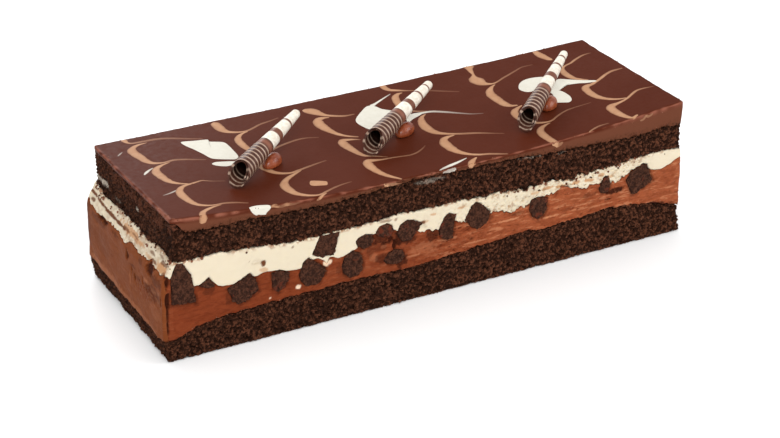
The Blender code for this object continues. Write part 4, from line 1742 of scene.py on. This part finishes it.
caramelLines = (
    ((-132.0, 51.5, 3.0), (-131.8, 48.0, 3.2), (-131.3, 45.4, 1.8), (-129.0, 43.6, 1.6, 0.6),
     (-122.9, 43.3, 2.2, 0.4), (-115.7, 42.8, 2.2, 0.35), (-109.3, 40.6, 2.0, 0.3),
     (-101.4, 36.3, 1.8, 0.22), (-94.3, 32.8, 1.4, 0.15)),
    ((-122.0, 41.2, 0.6, 0.5), (-124.4, 40.9, 1.0), (-127.2, 40.5, 1.8), (-130.6, 38.7, 3.2),
     (-132.9, 35.2, 4.9), (-132.9, 31.0, 5.6), (-131.9, 25.6, 5.0), (-131.3, 21.3, 4.2),
     (-129.7, 17.7, 3.2), (-127.0, 16.0, 2.2), (-123.4, 15.3, 1.5, 0.8), (-117.9, 15.9, 1.9, 0.45),
     (-112.1, 14.1, 1.8, 0.35), (-107.6, 11.9, 1.5, 0.25), (-102.6, 9.6, 1.0, 0.15)),
    ((-120.6, 14.4, 0.6, 0.6), (-123.2, 13.7, 1.2), (-126.4, 12.5, 2.1), (-129.9, 10.0, 3.5),
     (-131.7, 5.6, 4.9), (-131.4, 0.6, 4.8), (-130.6, -4.4, 4.2), (-129.2, -8.0, 3.3), (-126.4, -10.8, 2.0),
     (-123.2, -12.6, 1.2), (-120.6, -13.6, 0.6, 0.5)),
    ((-104.0, -16.8, 0.6, 0.15), (-110.4, -14.3, 0.9, 0.3), (-114.4, -12.0, 1.0, 0.7),
     (-117.4, -12.4, 1.4, 0.8), (-120.6, -13.2, 1.6), (-124.0, -13.9, 2.0), (-127.2, -15.6, 2.8),
     (-129.9, -19.4, 4.0), (-130.7, -24.4, 4.8), (-130.4, -29.4, 4.4), (-129.6, -33.7, 3.7),
     (-127.8, -37.2, 2.9), (-124.3, -39.4, 1.8), (-120.0, -40.2, 1.4, 0.8), (-115.0, -39.9, 1.7, 0.5),
     (-109.3, -41.2, 1.7, 0.35), (-103.6, -43.8, 1.0, 0.2)),
    ((-117.0, -41.0, 0.6, 0.6), (-121.4, -41.9, 1.4), (-125.4, -43.6, 2.2), (-128.7, -45.8, 2.7),
     (-130.3, -48.2, 3.6), (-130.7, -50.4, 4.3), (-130.6, -52.2, 4.7), (-129.8, -53.6, 3.2)),
    ((-81.4, 48.4, 2.6), (-81.4, 46.6, 5.0), (-81.4, 42.7, 5.8), (-81.1, 38.4, 5.0), (-79.4, 35.0, 3.2),
     (-76.2, 32.8, 2.2), (-72.1, 31.6, 1.6, 0.9), (-68.6, 32.0, 1.5, 0.6), (-65.0, 33.5, 1.6, 0.45),
     (-60.0, 35.8, 1.5, 0.35), (-54.3, 37.0, 1.3, 0.25), (-48.0, 38.6, 0.9, 0.12)),
    ((-69.6, 30.9, 0.7), (-73.4, 29.7, 1.6), (-76.6, 27.2, 2.9), (-78.5, 23.4, 4.2), (-78.8, 18.4, 4.5),
     (-78.5, 14.1, 4.2), (-77.4, 9.6, 3.4), (-74.6, 6.2, 2.4), (-69.6, 5.4, 1.6, 0.6),
     (-62.0, 8.4, 1.6, 0.5), (-55.0, 10.4, 1.6, 0.4), (-49.3, 11.3, 1.5, 0.3), (-44.3, 10.8, 1.2, 0.2),
     (-39.0, 8.8, 0.9, 0.1)),
    ((-74.0, -1.0, 1.6), (-78.6, -4.6, 3.6), (-80.2, -9.6, 4.5), (-79.0, -13.7, 4.1), (-77.3, -17.3, 3.4),
     (-73.6, -20.0, 2.4), (-69.3, -21.0, 1.8), (-65.2, -20.0, 1.6, 0.7), (-58.6, -18.3, 1.6, 0.4),
     (-52.9, -16.9, 1.3, 0.3), (-46.9, -15.7, 0.9, 0.12)),
    ((-63.6, -20.4, 0.7, 0.7), (-69.3, -23.2, 2.0), (-73.6, -25.7, 2.8), (-77.0, -28.9, 3.7),
     (-79.0, -33.2, 5.2), (-78.8, -37.8, 5.3), (-77.9, -41.4, 4.3), (-75.7, -44.3, 3.2),
     (-72.1, -46.7, 2.2), (-67.1, -47.9, 1.5, 0.9), (-61.4, -45.7, 1.5, 0.5), (-56.4, -43.7, 1.4, 0.35),
     (-51.4, -42.3, 1.2, 0.25), (-45.7, -41.4, 0.8, 0.12)),
    ((-62.8, -47.4, 0.6, 0.7), (-65.6, -49.0, 1.4), (-68.2, -50.9, 1.9), (-69.8, -52.0, 1.2)),
    ((-33.0, 41.0, 2.8), (-31.2, 39.8, 5.4), (-28.6, 37.5, 6.9), (-26.6, 33.8, 5.0), (-24.0, 30.3, 2.6),
     (-19.3, 27.2, 2.2, 0.75), (-15.0, 25.4, 1.8, 0.55), (-9.6, 25.2, 0.9, 0.25)),
    ((-23.6, 27.4, 0.7, 0.8), (-27.0, 28.2, 2.6), (-30.2, 27.4, 4.6), (-31.9, 23.4, 6.1),
     (-31.8, 19.1, 6.0), (-31.0, 14.9, 5.0), (-29.3, 9.9, 3.3), (-27.1, 6.4, 2.4), (-24.2, 3.5, 1.8),
     (-19.8, 0.8, 0.9, 0.6)),
    ((-20.4, -2.4, 0.6, 0.4), (-23.4, -0.8, 1.4, 0.9), (-26.4, 0.2, 2.4), (-29.4, 0.4, 3.9),
     (-30.7, -2.6, 5.6), (-30.4, -6.6, 5.2), (-29.6, -10.9, 4.6), (-28.6, -15.1, 3.6), (-27.0, -18.7, 2.4),
     (-23.6, -21.0, 1.6, 0.9), (-20.0, -23.1, 1.0, 0.6), (-16.6, -25.4, 0.6, 0.3)),
    ((7.0, -22.4, 0.6, 0.12), (3.2, -25.3, 1.0, 0.25), (-1.0, -27.5, 1.2, 0.35), (-5.2, -28.3, 1.2, 0.35),
     (-10.0, -27.7, 1.2, 0.4), (-15.7, -26.9, 1.2, 0.5), (-20.4, -26.6, 1.5, 0.85), (-24.0, -25.8, 2.5),
     (-27.8, -25.2, 4.2), (-29.5, -28.2, 5.4), (-29.6, -32.3, 5.2), (-28.9, -36.6, 4.4),
     (-27.4, -40.9, 3.4), (-25.3, -44.4, 2.6), (-22.9, -47.3, 1.8), (-21.2, -49.6, 1.0, 0.7)),
    ((-32.2, -50.2, 0.8), (-30.8, -50.9, 1.8), (-28.0, -51.7, 2.6), (-25.0, -52.2, 2.4),
     (-21.6, -52.4, 0.9)),
    ((19.9, 51.5, 3.6), (19.6, 48.0, 4.0), (19.7, 45.3, 3.8), (21.0, 42.7, 3.0), (24.3, 40.6, 2.2),
     (27.4, 38.8, 1.7, 0.7), (31.0, 37.0, 1.2, 0.4), (40.0, 32.6, 1.6, 0.2), (46.0, 28.8, 1.6, 0.16),
     (54.0, 24.0, 1.0, 0.1)),
    ((25.4, 36.9, 0.8), (22.4, 36.4, 2.3), (19.7, 34.0, 3.9), (18.2, 30.6, 4.6), (17.1, 26.4, 4.4),
     (16.6, 21.4, 3.8), (18.0, 17.0, 2.4), (22.0, 13.6, 1.4, 0.7), (27.0, 11.4, 1.0, 0.4)),
    ((24.4, 8.8, 0.7, 0.8), (20.9, 6.5, 2.2), (18.6, 2.8, 4.1), (17.3, -1.6, 5.4), (17.1, -5.9, 5.6),
     (17.9, -10.0, 5.0), (19.8, -13.1, 3.6), (23.0, -15.6, 2.4), (26.6, -17.6, 1.9, 0.85),
     (30.7, -19.4, 2.0, 0.55), (36.4, -21.6, 2.0, 0.45), (40.7, -23.7, 1.7, 0.35), (45.0, -26.2, 1.3, 0.22),
     (50.7, -29.4, 0.8, 0.1)),
    ((26.4, -19.0, 0.7), (22.0, -19.3, 2.5), (18.8, -21.1, 4.3), (17.3, -25.1, 6.0), (17.3, -29.4, 6.0),
     (18.0, -33.7, 5.0), (19.8, -37.3, 3.6), (23.0, -40.8, 2.4), (27.1, -43.3, 1.9, 0.9),
     (32.1, -45.0, 1.9, 0.65), (36.4, -47.2, 1.7, 0.5), (41.0, -49.6, 1.2, 0.35)),
    ((24.6, -45.2, 0.8), (21.4, -47.2, 2.6), (19.2, -49.4, 4.0), (18.9, -51.4, 4.8), (19.2, -52.8, 4.0)),
    ((74.2, 51.5, 9.0), (73.8, 49.0, 6.6), (72.9, 46.3, 3.8), (72.0, 42.7, 2.7), (71.2, 39.0, 1.7),
     (70.0, 36.4, 3.8), (69.3, 34.0, 7.4), (69.3, 30.9, 8.8), (70.0, 27.8, 6.6), (72.0, 25.4, 3.4),
     (75.4, 24.3, 1.4), (79.0, 25.4, 1.3, 0.6), (82.9, 27.4, 1.4, 0.45), (89.3, 30.2, 1.4, 0.35),
     (95.0, 32.7, 1.3, 0.28), (100.0, 34.7, 1.1, 0.2), (107.0, 34.6, 0.8, 0.1)),
    ((75.6, 22.8, 0.6), (72.4, 20.9, 2.0), (68.9, 17.2, 4.1), (67.2, 12.7, 5.8), (67.2, 7.7, 5.8),
     (67.4, 2.7, 5.3), (68.2, -1.2, 4.9), (70.2, -3.7, 2.8), (73.6, -4.8, 1.1)),
    ((75.4, -6.0, 0.8), (71.6, -7.8, 2.4), (68.2, -10.4, 4.2), (66.6, -14.2, 4.6), (66.6, -18.6, 4.4),
     (67.8, -23.4, 3.8), (70.6, -26.6, 2.9), (74.0, -28.5, 2.1), (77.9, -29.3, 1.4, 0.8),
     (81.0, -28.6, 1.3, 0.55), (85.0, -26.3, 1.3, 0.42), (90.7, -23.8, 1.2, 0.35), (96.4, -22.6, 1.1, 0.26),
     (109.0, -22.2, 0.7, 0.1)),
    ((78.0, -30.8, 0.6, 0.7), (74.2, -31.8, 1.8), (70.7, -33.6, 3.2), (68.2, -36.8, 4.5),
     (67.5, -40.9, 5.0), (67.7, -45.1, 4.7), (68.3, -49.4, 4.3), (69.4, -51.2, 3.6), (71.2, -52.2, 2.4),
     (73.8, -51.4, 1.0)),
    ((89.6, -50.2, 0.9, 0.6), (94.3, -48.4, 1.3, 0.5), (98.6, -47.4, 1.2, 0.35), (104.0, -47.6, 0.8, 0.15)),
    ((117.1, 51.5, 3.4), (117.0, 48.0, 3.9), (117.0, 44.4, 5.2), (117.5, 40.6, 5.2), (118.4, 37.0, 3.9),
     (119.6, 34.4, 2.2)),
    ((143.4, 31.4, 0.6, 0.15), (140.0, 31.4, 1.2, 0.4), (136.4, 30.7, 1.5, 0.55), (130.7, 28.2, 1.6, 0.7),
     (126.4, 25.8, 1.5, 0.8), (122.1, 24.4, 1.4, 0.9), (119.0, 22.7, 2.2), (116.9, 19.1, 3.6),
     (116.1, 14.9, 4.4), (116.4, 10.6, 4.0), (117.4, 7.5, 3.0), (119.8, 4.6, 1.9), (123.0, 2.0, 0.9, 0.6)),
    ((149.4, 4.2, 0.6, 0.15), (144.3, 4.5, 1.6, 0.45), (139.3, 4.4, 2.0, 0.7), (134.3, 2.6, 2.0, 0.85),
     (130.0, 0.3, 1.9), (125.7, -1.8, 1.9), (121.4, -3.6, 2.4), (117.8, -4.2, 3.6), (115.6, -6.2, 4.6),
     (114.8, -10.0, 4.8), (114.7, -14.4, 4.8), (115.4, -18.3, 4.2), (117.4, -22.0, 3.2),
     (120.2, -25.0, 2.4), (123.8, -27.2, 1.6), (127.6, -28.2, 0.8)),
    ((147.4, -25.2, 0.6, 0.15), (141.4, -24.0, 1.4, 0.5), (137.1, -24.0, 1.6, 0.7),
     (132.9, -25.9, 1.7, 0.85), (128.6, -28.4, 1.6), (124.3, -30.1, 1.7), (120.0, -31.0, 2.4),
     (116.4, -31.6, 4.2), (114.2, -33.4, 5.2), (113.7, -37.0, 5.4), (113.9, -41.0, 5.0),
     (114.7, -44.8, 4.0), (116.0, -48.0, 2.8), (117.6, -49.6, 2.1), (121.6, -48.2, 1.4)),
    ((-95.0, -50.6, 0.8, 0.7), (-92.4, -50.2, 2.2, 0.8), (-89.4, -51.4, 1.6, 0.7), (-86.0, -50.7, 2.0, 0.7),
     (-82.4, -51.3, 1.2, 0.6), (-78.6, -50.8, 0.8, 0.4)),
    ((121.8, -52.6, 0.8), (124.0, -52.6, 1.4), (125.6, -50.9, 1.6), (127.4, -51.9, 1.5),
     (130.0, -50.8, 0.9)),
)
whiteLines = (
    ((-141.8, 32.4, 0.4, 0.4), (-140.0, 34.0, 1.0, 0.5), (-137.8, 36.0, 0.4, 0.3)),
    ((-138.6, 5.2, 0.6, 0.8), (-136.6, 7.4, 1.7, 0.9), (-133.8, 9.8, 1.4, 0.8), (-131.0, 11.6, 0.6, 0.5)),
    ((-139.6, -21.3, 0.4, 0.3), (-135.4, -20.0, 1.1, 0.45), (-132.4, -18.6, 1.2, 0.5),
     (-129.8, -17.0, 0.5, 0.4)),
    ((2.0, 29.4, 3.6), (6.0, 31.4, 1.9), (10.0, 33.6, 1.3), (14.4, 36.0, 1.0, 0.8), (19.0, 38.4, 0.5, 0.5)),
    ((20.0, 10.6, 2.6), (24.4, 10.7, 2.1, 0.85), (29.3, 9.7, 2.2, 0.6), (35.0, 6.2, 2.2, 0.45),
     (40.7, 2.0, 1.6, 0.3), (46.4, -2.0, 1.2, 0.2), (52.6, -4.4, 0.7, 0.1)),
    ((0.4, -49.2, 0.5, 0.7), (4.0, -48.0, 1.7, 0.75), (8.6, -46.8, 2.1), (13.4, -45.6, 1.7),
     (19.6, -43.6, 0.6, 0.8)),
    ((2.0, -51.0, 0.8), (4.4, -51.6, 2.5), (7.2, -51.3, 2.6), (9.8, -50.4, 0.9)),
)
caramelPools = (
    ((-66.6, -36.6), (-65.4, -33.6), (-63.6, -32.9), (-57.8, -36.0), (-57.4, -37.4), (-58.8, -39.8),
     (-61.6, -39.4), (-65.4, -38.2)),
)
whitePools = (
    ((-106.5, 32.8), (-105.4, 34.2), (-99.3, 32.6), (-92.6, 31.0), (-92.9, 28.6), (-86.6, 24.8),
     (-85.6, 19.9), (-85.7, 13.4), (-86.2, 6.6), (-88.6, 4.1), (-91.6, 5.0), (-97.9, 8.3), (-100.1, 10.8),
     (-101.5, 16.3), (-103.7, 23.4), (-105.7, 28.6)),
    ((-102.2, 3.8), (-99.6, 5.0), (-94.6, 3.6), (-90.4, 2.0), (-90.6, 0.2), (-93.2, -1.2), (-96.4, -1.6),
     (-100.4, 0.8)),
    ((-106.0, -49.0), (-102.1, -47.7), (-97.4, -48.4), (-94.8, -50.0), (-95.4, -52.0), (-98.0, -54.0),
     (-101.2, -54.4), (-104.2, -52.8)),
    ((0.6, 30.6), (-5.7, 25.8), (-11.4, 20.2), (-13.3, 16.0), (-12.6, 10.5), (-10.0, 5.2), (-2.0, 3.4),
     (6.0, 6.0), (12.0, 12.0), (13.0, 17.0), (9.6, 20.8), (6.2, 24.3), (4.4, 28.6)),
    ((11.2, 4.2), (13.6, 10.0), (18.0, 12.2), (23.4, 11.2), (21.6, 9.2), (16.4, 7.0)),
    ((84.5, 8.6), (84.2, 11.8), (87.0, 16.4), (90.7, 19.2), (95.2, 20.3), (100.8, 19.4), (105.0, 17.0),
     (107.0, 13.0), (104.0, 8.0), (98.0, 6.4), (92.0, 6.4), (88.2, 5.6), (86.0, 6.4)),
    ((104.0, 9.0), (109.3, 11.4), (114.3, 7.8), (120.0, 3.2), (125.6, -0.6), (125.0, -1.9), (120.0, -0.8),
     (115.5, 1.3), (110.0, 2.6), (105.7, 1.8), (102.4, -0.4), (99.6, 4.0)),
    ((99.6, 6.0), (102.0, 0.0), (103.3, -4.4), (103.4, -10.0), (101.8, -14.0), (99.4, -15.6), (97.2, -14.8),
     (92.2, -11.4), (94.8, -8.2), (96.6, -2.6), (96.6, 3.0)),
)
strokeShape = {
    "pitch": 0.0006,
    "flatness": 0.028,  # height of a stroke for its width
    "frontLip": 0.0719,  # height of the lip at the middle of the front
    "backLip": 0.0746,
    "sides": 16,
    "unsteady": 0.10,
    "thinnest": 0.1,  # half width, in millimetres
    "fade": 0.55,  # how much of the colour a stroke loses at its edges
    "fadeFrom": 0.55,
    "fadeOver": 0.45,
}
poolShape = {
    "rim": ((0.95, -0.3), (1.0, 0.0), (0.985, 0.04), (0.94, 0.08), (0.85, 0.10)),  # share out, and height
    "rings": 12,
}


def throughPoints(points, pitch, closed=False):
    # evenly spaced places along a smooth line through the points
    knots = [Vector(point) for point in points]
    if closed:
        knots = [knots[-1]] + knots + knots[:2]
    else:
        knots = [knots[0] * 2 - knots[1]] + knots + [knots[-1] * 2 - knots[-2]]
    line = []
    for a, b, c, d in zip(knots, knots[1:], knots[2:], knots[3:]):
        steps = max(2, round((c - b).length / pitch))
        for n in range(steps):
            t = n / steps
            cubic = (3 * b - 3 * c + d - a) * t**3 + (2 * a - 5 * b + 4 * c - d) * t**2 + (c - a) * t
            line.append(b + cubic / 2)
    if not closed:
        line.append(knots[-2])
    return line


def strokeLine(points):
    # places, half widths and strengths of one stroke, with rounded ends and a slightly unsteady edge
    full = [point if len(point) == 4 else (*point, 1.0) for point in points]
    line = []
    places = throughPoints(full, strokeShape["pitch"] / mm)
    for n, (x, y, width, strength) in enumerate(places):
        fromEnd = min(n, len(places) - 1 - n) * strokeShape["pitch"] / mm
        rounded = math.sqrt(min(1.0, max(0.02, fromEnd / max(0.5, 0.5 * width))))
        unsteady = 1 + strokeShape["unsteady"] * ripple(x, y, 2.2, 83.0)
        half = max(strokeShape["thinnest"], 0.5 * width * rounded * unsteady)
        line.append((Vector((x, y)), half, min(max(strength, 0.0), 1.0)))
    return line


def layTree():
    # gives flat lines their width and lays them on the glaze, over its lip too
    tree, given, result = newMeshTree(
        "laidStrokes",
        {
            "Glaze": "Object",
            "Sides": 16,
            "Flatness": 0.06,
            "Edge": 0.0500,
            "Front Lip": 0.0719,
            "Front Rise": 0.0078,
            "Back Lip": 0.0746,
            "Half Length": 0.1545,
        },
    )
    circle = addNode(tree, "GeometryNodeCurvePrimitiveCircle", {"Resolution": given["Sides"], "Radius": 1.0})
    squeeze = addNode(tree, "ShaderNodeCombineXYZ", {"X": 1.0, "Y": given["Flatness"], "Z": 1.0}).outputs[0]
    profile = addNode(
        tree, "GeometryNodeTransform", {"Geometry": circle.outputs["Curve"], "Scale": squeeze}
    ).outputs[0]
    width = addNode(tree, "GeometryNodeInputRadius").outputs[0]
    ribbon = addNode(
        tree,
        "GeometryNodeCurveToMesh",
        {"Curve": given["Geometry"], "Profile Curve": profile, "Scale": width, "Fill Caps": True},
    ).outputs[0]
    glaze = addNode(tree, "GeometryNodeObjectInfo", {"Object": given["Glaze"]}).outputs["Geometry"]
    position = addNode(tree, "GeometryNodeInputPosition").outputs[0]
    place = addNode(tree, "ShaderNodeSeparateXYZ", {0: position}).outputs
    over = calc(tree, "MAXIMUM", minus(tree, calc(tree, "ABSOLUTE", place["Y"]), given["Edge"]), 0.0)
    outwards = calc(tree, "DIVIDE", calc(tree, "ABSOLUTE", place["X"]), given["Half Length"])
    rise = times(tree, calc(tree, "POWER", outwards, 2.2), given["Front Rise"])
    inFront = calc(tree, "LESS_THAN", place["Y"], 0.0)
    drop = times(tree, inFront, minus(tree, given["Back Lip"], given["Front Lip"]))
    level = plus(tree, minus(tree, given["Back Lip"], drop), times(tree, inFront, rise))
    values = {"X": place["X"], "Y": place["Y"], "Z": minus(tree, level, over)}
    aim = addNode(tree, "ShaderNodeCombineXYZ", values).outputs[0]
    near = addNode(tree, "GeometryNodeProximity", {"Geometry": glaze, "Source Position": aim})
    near.target_element = "FACES"
    normal = addNode(tree, "GeometryNodeInputNormal").outputs["Normal"]
    facing = addNode(
        tree,
        "GeometryNodeSampleNearestSurface",
        {"Mesh": glaze, "Value": normal, "Sample Position": aim},
        data_type="FLOAT_VECTOR",
    ).outputs["Value"]
    target = vectorCalc(tree, "ADD", near.outputs["Position"], scaled(tree, facing, place["Z"]))
    laid = addNode(tree, "GeometryNodeSetPosition", {"Geometry": ribbon, "Position": target}).outputs[0]
    return closeMeshTree(tree, laid, given, result)


laidStrokes = layTree()


def strokeCurves(name, lines):
    data = bpy.data.curves.new(name, "CURVE")
    data.dimensions = "3D"
    data.twist_mode = "Z_UP"
    for line in lines:
        spline = data.splines.new("POLY")
        spline.points.add(len(line) - 1)
        for point, (place, half, _) in zip(spline.points, line):
            point.co = (place.x * mm, place.y * mm, 0.0, 1.0)
            point.radius = half * mm
    return newObject(name, data)


def poolMesh(outline, bm):
    # a broad flat pool: rings from its edge to its middle, each a little higher, and closed below
    edge = throughPoints(outline, strokeShape["pitch"] / mm, closed=True)
    middle = sum(edge, Vector((0.0, 0.0))) / len(edge)
    (_, low), (flatShare, flatHeight) = poolShape["rim"][0], poolShape["rim"][-1]
    steps = poolShape["rings"]
    shares = [*poolShape["rim"], *((flatShare * (1 - n / steps), flatHeight) for n in range(1, steps))]

    def vert(place, height):
        return bm.verts.new((place.x * mm, place.y * mm, height * mm))

    built = [[vert(middle.lerp(place, share), height) for place in edge] for share, height in shares]
    bottom = vert(middle, low)
    peak = vert(middle, flatHeight)
    count = len(edge)
    for n in range(count):
        m = (n + 1) % count
        bm.faces.new((built[0][m], built[0][n], bottom))
        for first, second in zip(built, built[1:]):
            bm.faces.new((first[n], first[m], second[m], second[n]))
        bm.faces.new((built[-1][n], built[-1][m], peak))


def poolTree():
    # the same laying for a flat mesh
    tree = laidStrokes.copy()
    tree.name = "laidPools"
    ribbon = next(node for node in tree.nodes if node.bl_idname == "GeometryNodeCurveToMesh")
    move = next(node for node in tree.nodes if node.bl_idname == "GeometryNodeSetPosition")
    given = next(node for node in tree.nodes if node.bl_idname == "NodeGroupInput")
    tree.links.new(given.outputs["Geometry"], move.inputs["Geometry"])
    tree.nodes.remove(ribbon)
    return tree


laidPools = poolTree()


def layStrokes(colour, points, outlines):
    lines = [strokeLine(line) for line in points]
    values = {
        "Glaze": ganache[0],
        "Sides": strokeShape["sides"],
        "Flatness": strokeShape["flatness"],
        "Edge": halfWidth - ganacheShape["roundHigh"],
        "Front Lip": strokeShape["frontLip"],
        "Front Rise": bar["frontRise"],
        "Back Lip": strokeShape["backLip"],
        "Half Length": halfLength,
        "Material": materials[colour],
    }
    strengths = KDTree(sum(len(line) for line in lines))
    samples = [sample for line in lines for sample in line]
    for n, (place, _, _) in enumerate(samples):
        strengths.insert((place.x * mm, place.y * mm, 0.0), n)
    strengths.balance()
    curves = strokeCurves(colour + "Strokes", lines)
    obj = finishWith(curves, laidStrokes, values)
    strength = []
    for vert in obj.data.vertices:
        _, n, away = strengths.find((vert.co.x, vert.co.y, 0.0))
        _, half, full = samples[n]
        atEdge = smooth((away / mm / half - strokeShape["fadeFrom"]) / strokeShape["fadeOver"])
        strength.append(full * (1 - strokeShape["fade"] * atEdge))
    finishStroke(obj, strength)
    bm = bmesh.new()
    for outline in outlines:
        poolMesh(outline, bm)
    bmesh.ops.recalc_face_normals(bm, faces=bm.faces)
    flat = newObject(colour + "Pools", meshFrom(bm, colour + "Pools"))
    pools = finishWith(flat, laidPools, values)
    finishStroke(pools, [1.0] * len(pools.data.vertices))


def finishStroke(obj, strength):
    paint(obj.data, "strength", strength)
    obj.data.shade_smooth()
    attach(obj, "root")
    print(obj.name, "has", len(obj.data.polygons), "faces")


layStrokes("caramel", caramelLines, caramelPools)
layStrokes("white", whiteLines, whitePools)


# Floor, light and camera

studio = {
    "eye": (-0.49715, -0.91394, 0.57927),
    "look": (0.42015, 0.77416, -0.47344),
    "roll": 0.7565,  # degrees
    "lens": 101.54,
    "sensor": 36.0,
    "floorSize": 6.0,
    "floorDrop": 0.0004,
    "floorColour": (0.90, 0.90, 0.90),
    "skyStrength": 0.85,
}
lamps = (  # name, place, aimed at, size, power
    ("keyLamp", (-0.45, -0.85, 0.95), (0.0, 0.0, 0.04), 0.55, 9.0),
    ("sheenLamp", (0.05, 1.10, 0.75), (-0.10, 0.0, 0.07), 0.60, 8.0),
    ("fillLamp", (1.05, -0.60, 0.60), (0.05, 0.0, 0.04), 0.70, 5.0),
)


def aimed(place, target, roll=0.0):
    ahead = (Vector(target) - Vector(place)).normalized()
    right = ahead.cross(Vector((0, 0, 1))).normalized()
    up = right.cross(ahead)
    turn = math.radians(roll)
    tiltedRight = right * math.cos(turn) + up * math.sin(turn)
    tiltedUp = up * math.cos(turn) - right * math.sin(turn)
    turned = Matrix((tiltedRight, tiltedUp, -ahead)).transposed().to_4x4()
    return Matrix.Translation(Vector(place)) @ turned


def dressStudio():
    bm = bmesh.new()
    bmesh.ops.create_grid(bm, x_segments=2, y_segments=2, size=studio["floorSize"] / 2)
    bmesh.ops.translate(bm, verts=bm.verts, vec=(0, 0, -studio["floorDrop"]))
    floor = newObject("floor", meshFrom(bm, "floor"))
    material, _, shader = newMaterial("paleFloor", 0.9, 0.2)
    shader.inputs["Base Color"].default_value = (*studio["floorColour"], 1.0)
    floor.data.materials.append(material)

    world = bpy.data.worlds.new("studio")
    world.use_nodes = True
    sky = world.node_tree.nodes["Background"]
    sky.inputs["Color"].default_value = (1.0, 1.0, 1.0, 1.0)
    sky.inputs["Strength"].default_value = studio["skyStrength"]
    bpy.context.scene.world = world

    for name, place, target, size, power in lamps:
        light = bpy.data.lights.new(name, "AREA")
        light.size = size
        light.energy = power
        lamp = newObject(name, light)
        lamp.matrix_world = aimed(place, target)

    view = bpy.data.cameras.new("camera")
    view.lens = studio["lens"]
    view.sensor_width = studio["sensor"]
    view.clip_start = 0.05
    camera = newObject("camera", view)
    target = Vector(studio["eye"]) + Vector(studio["look"])
    camera.matrix_world = aimed(studio["eye"], target, studio["roll"])
    bpy.context.scene.camera = camera
    bpy.context.scene.view_settings.view_transform = "Standard"


dressStudio()
print("studio ready")
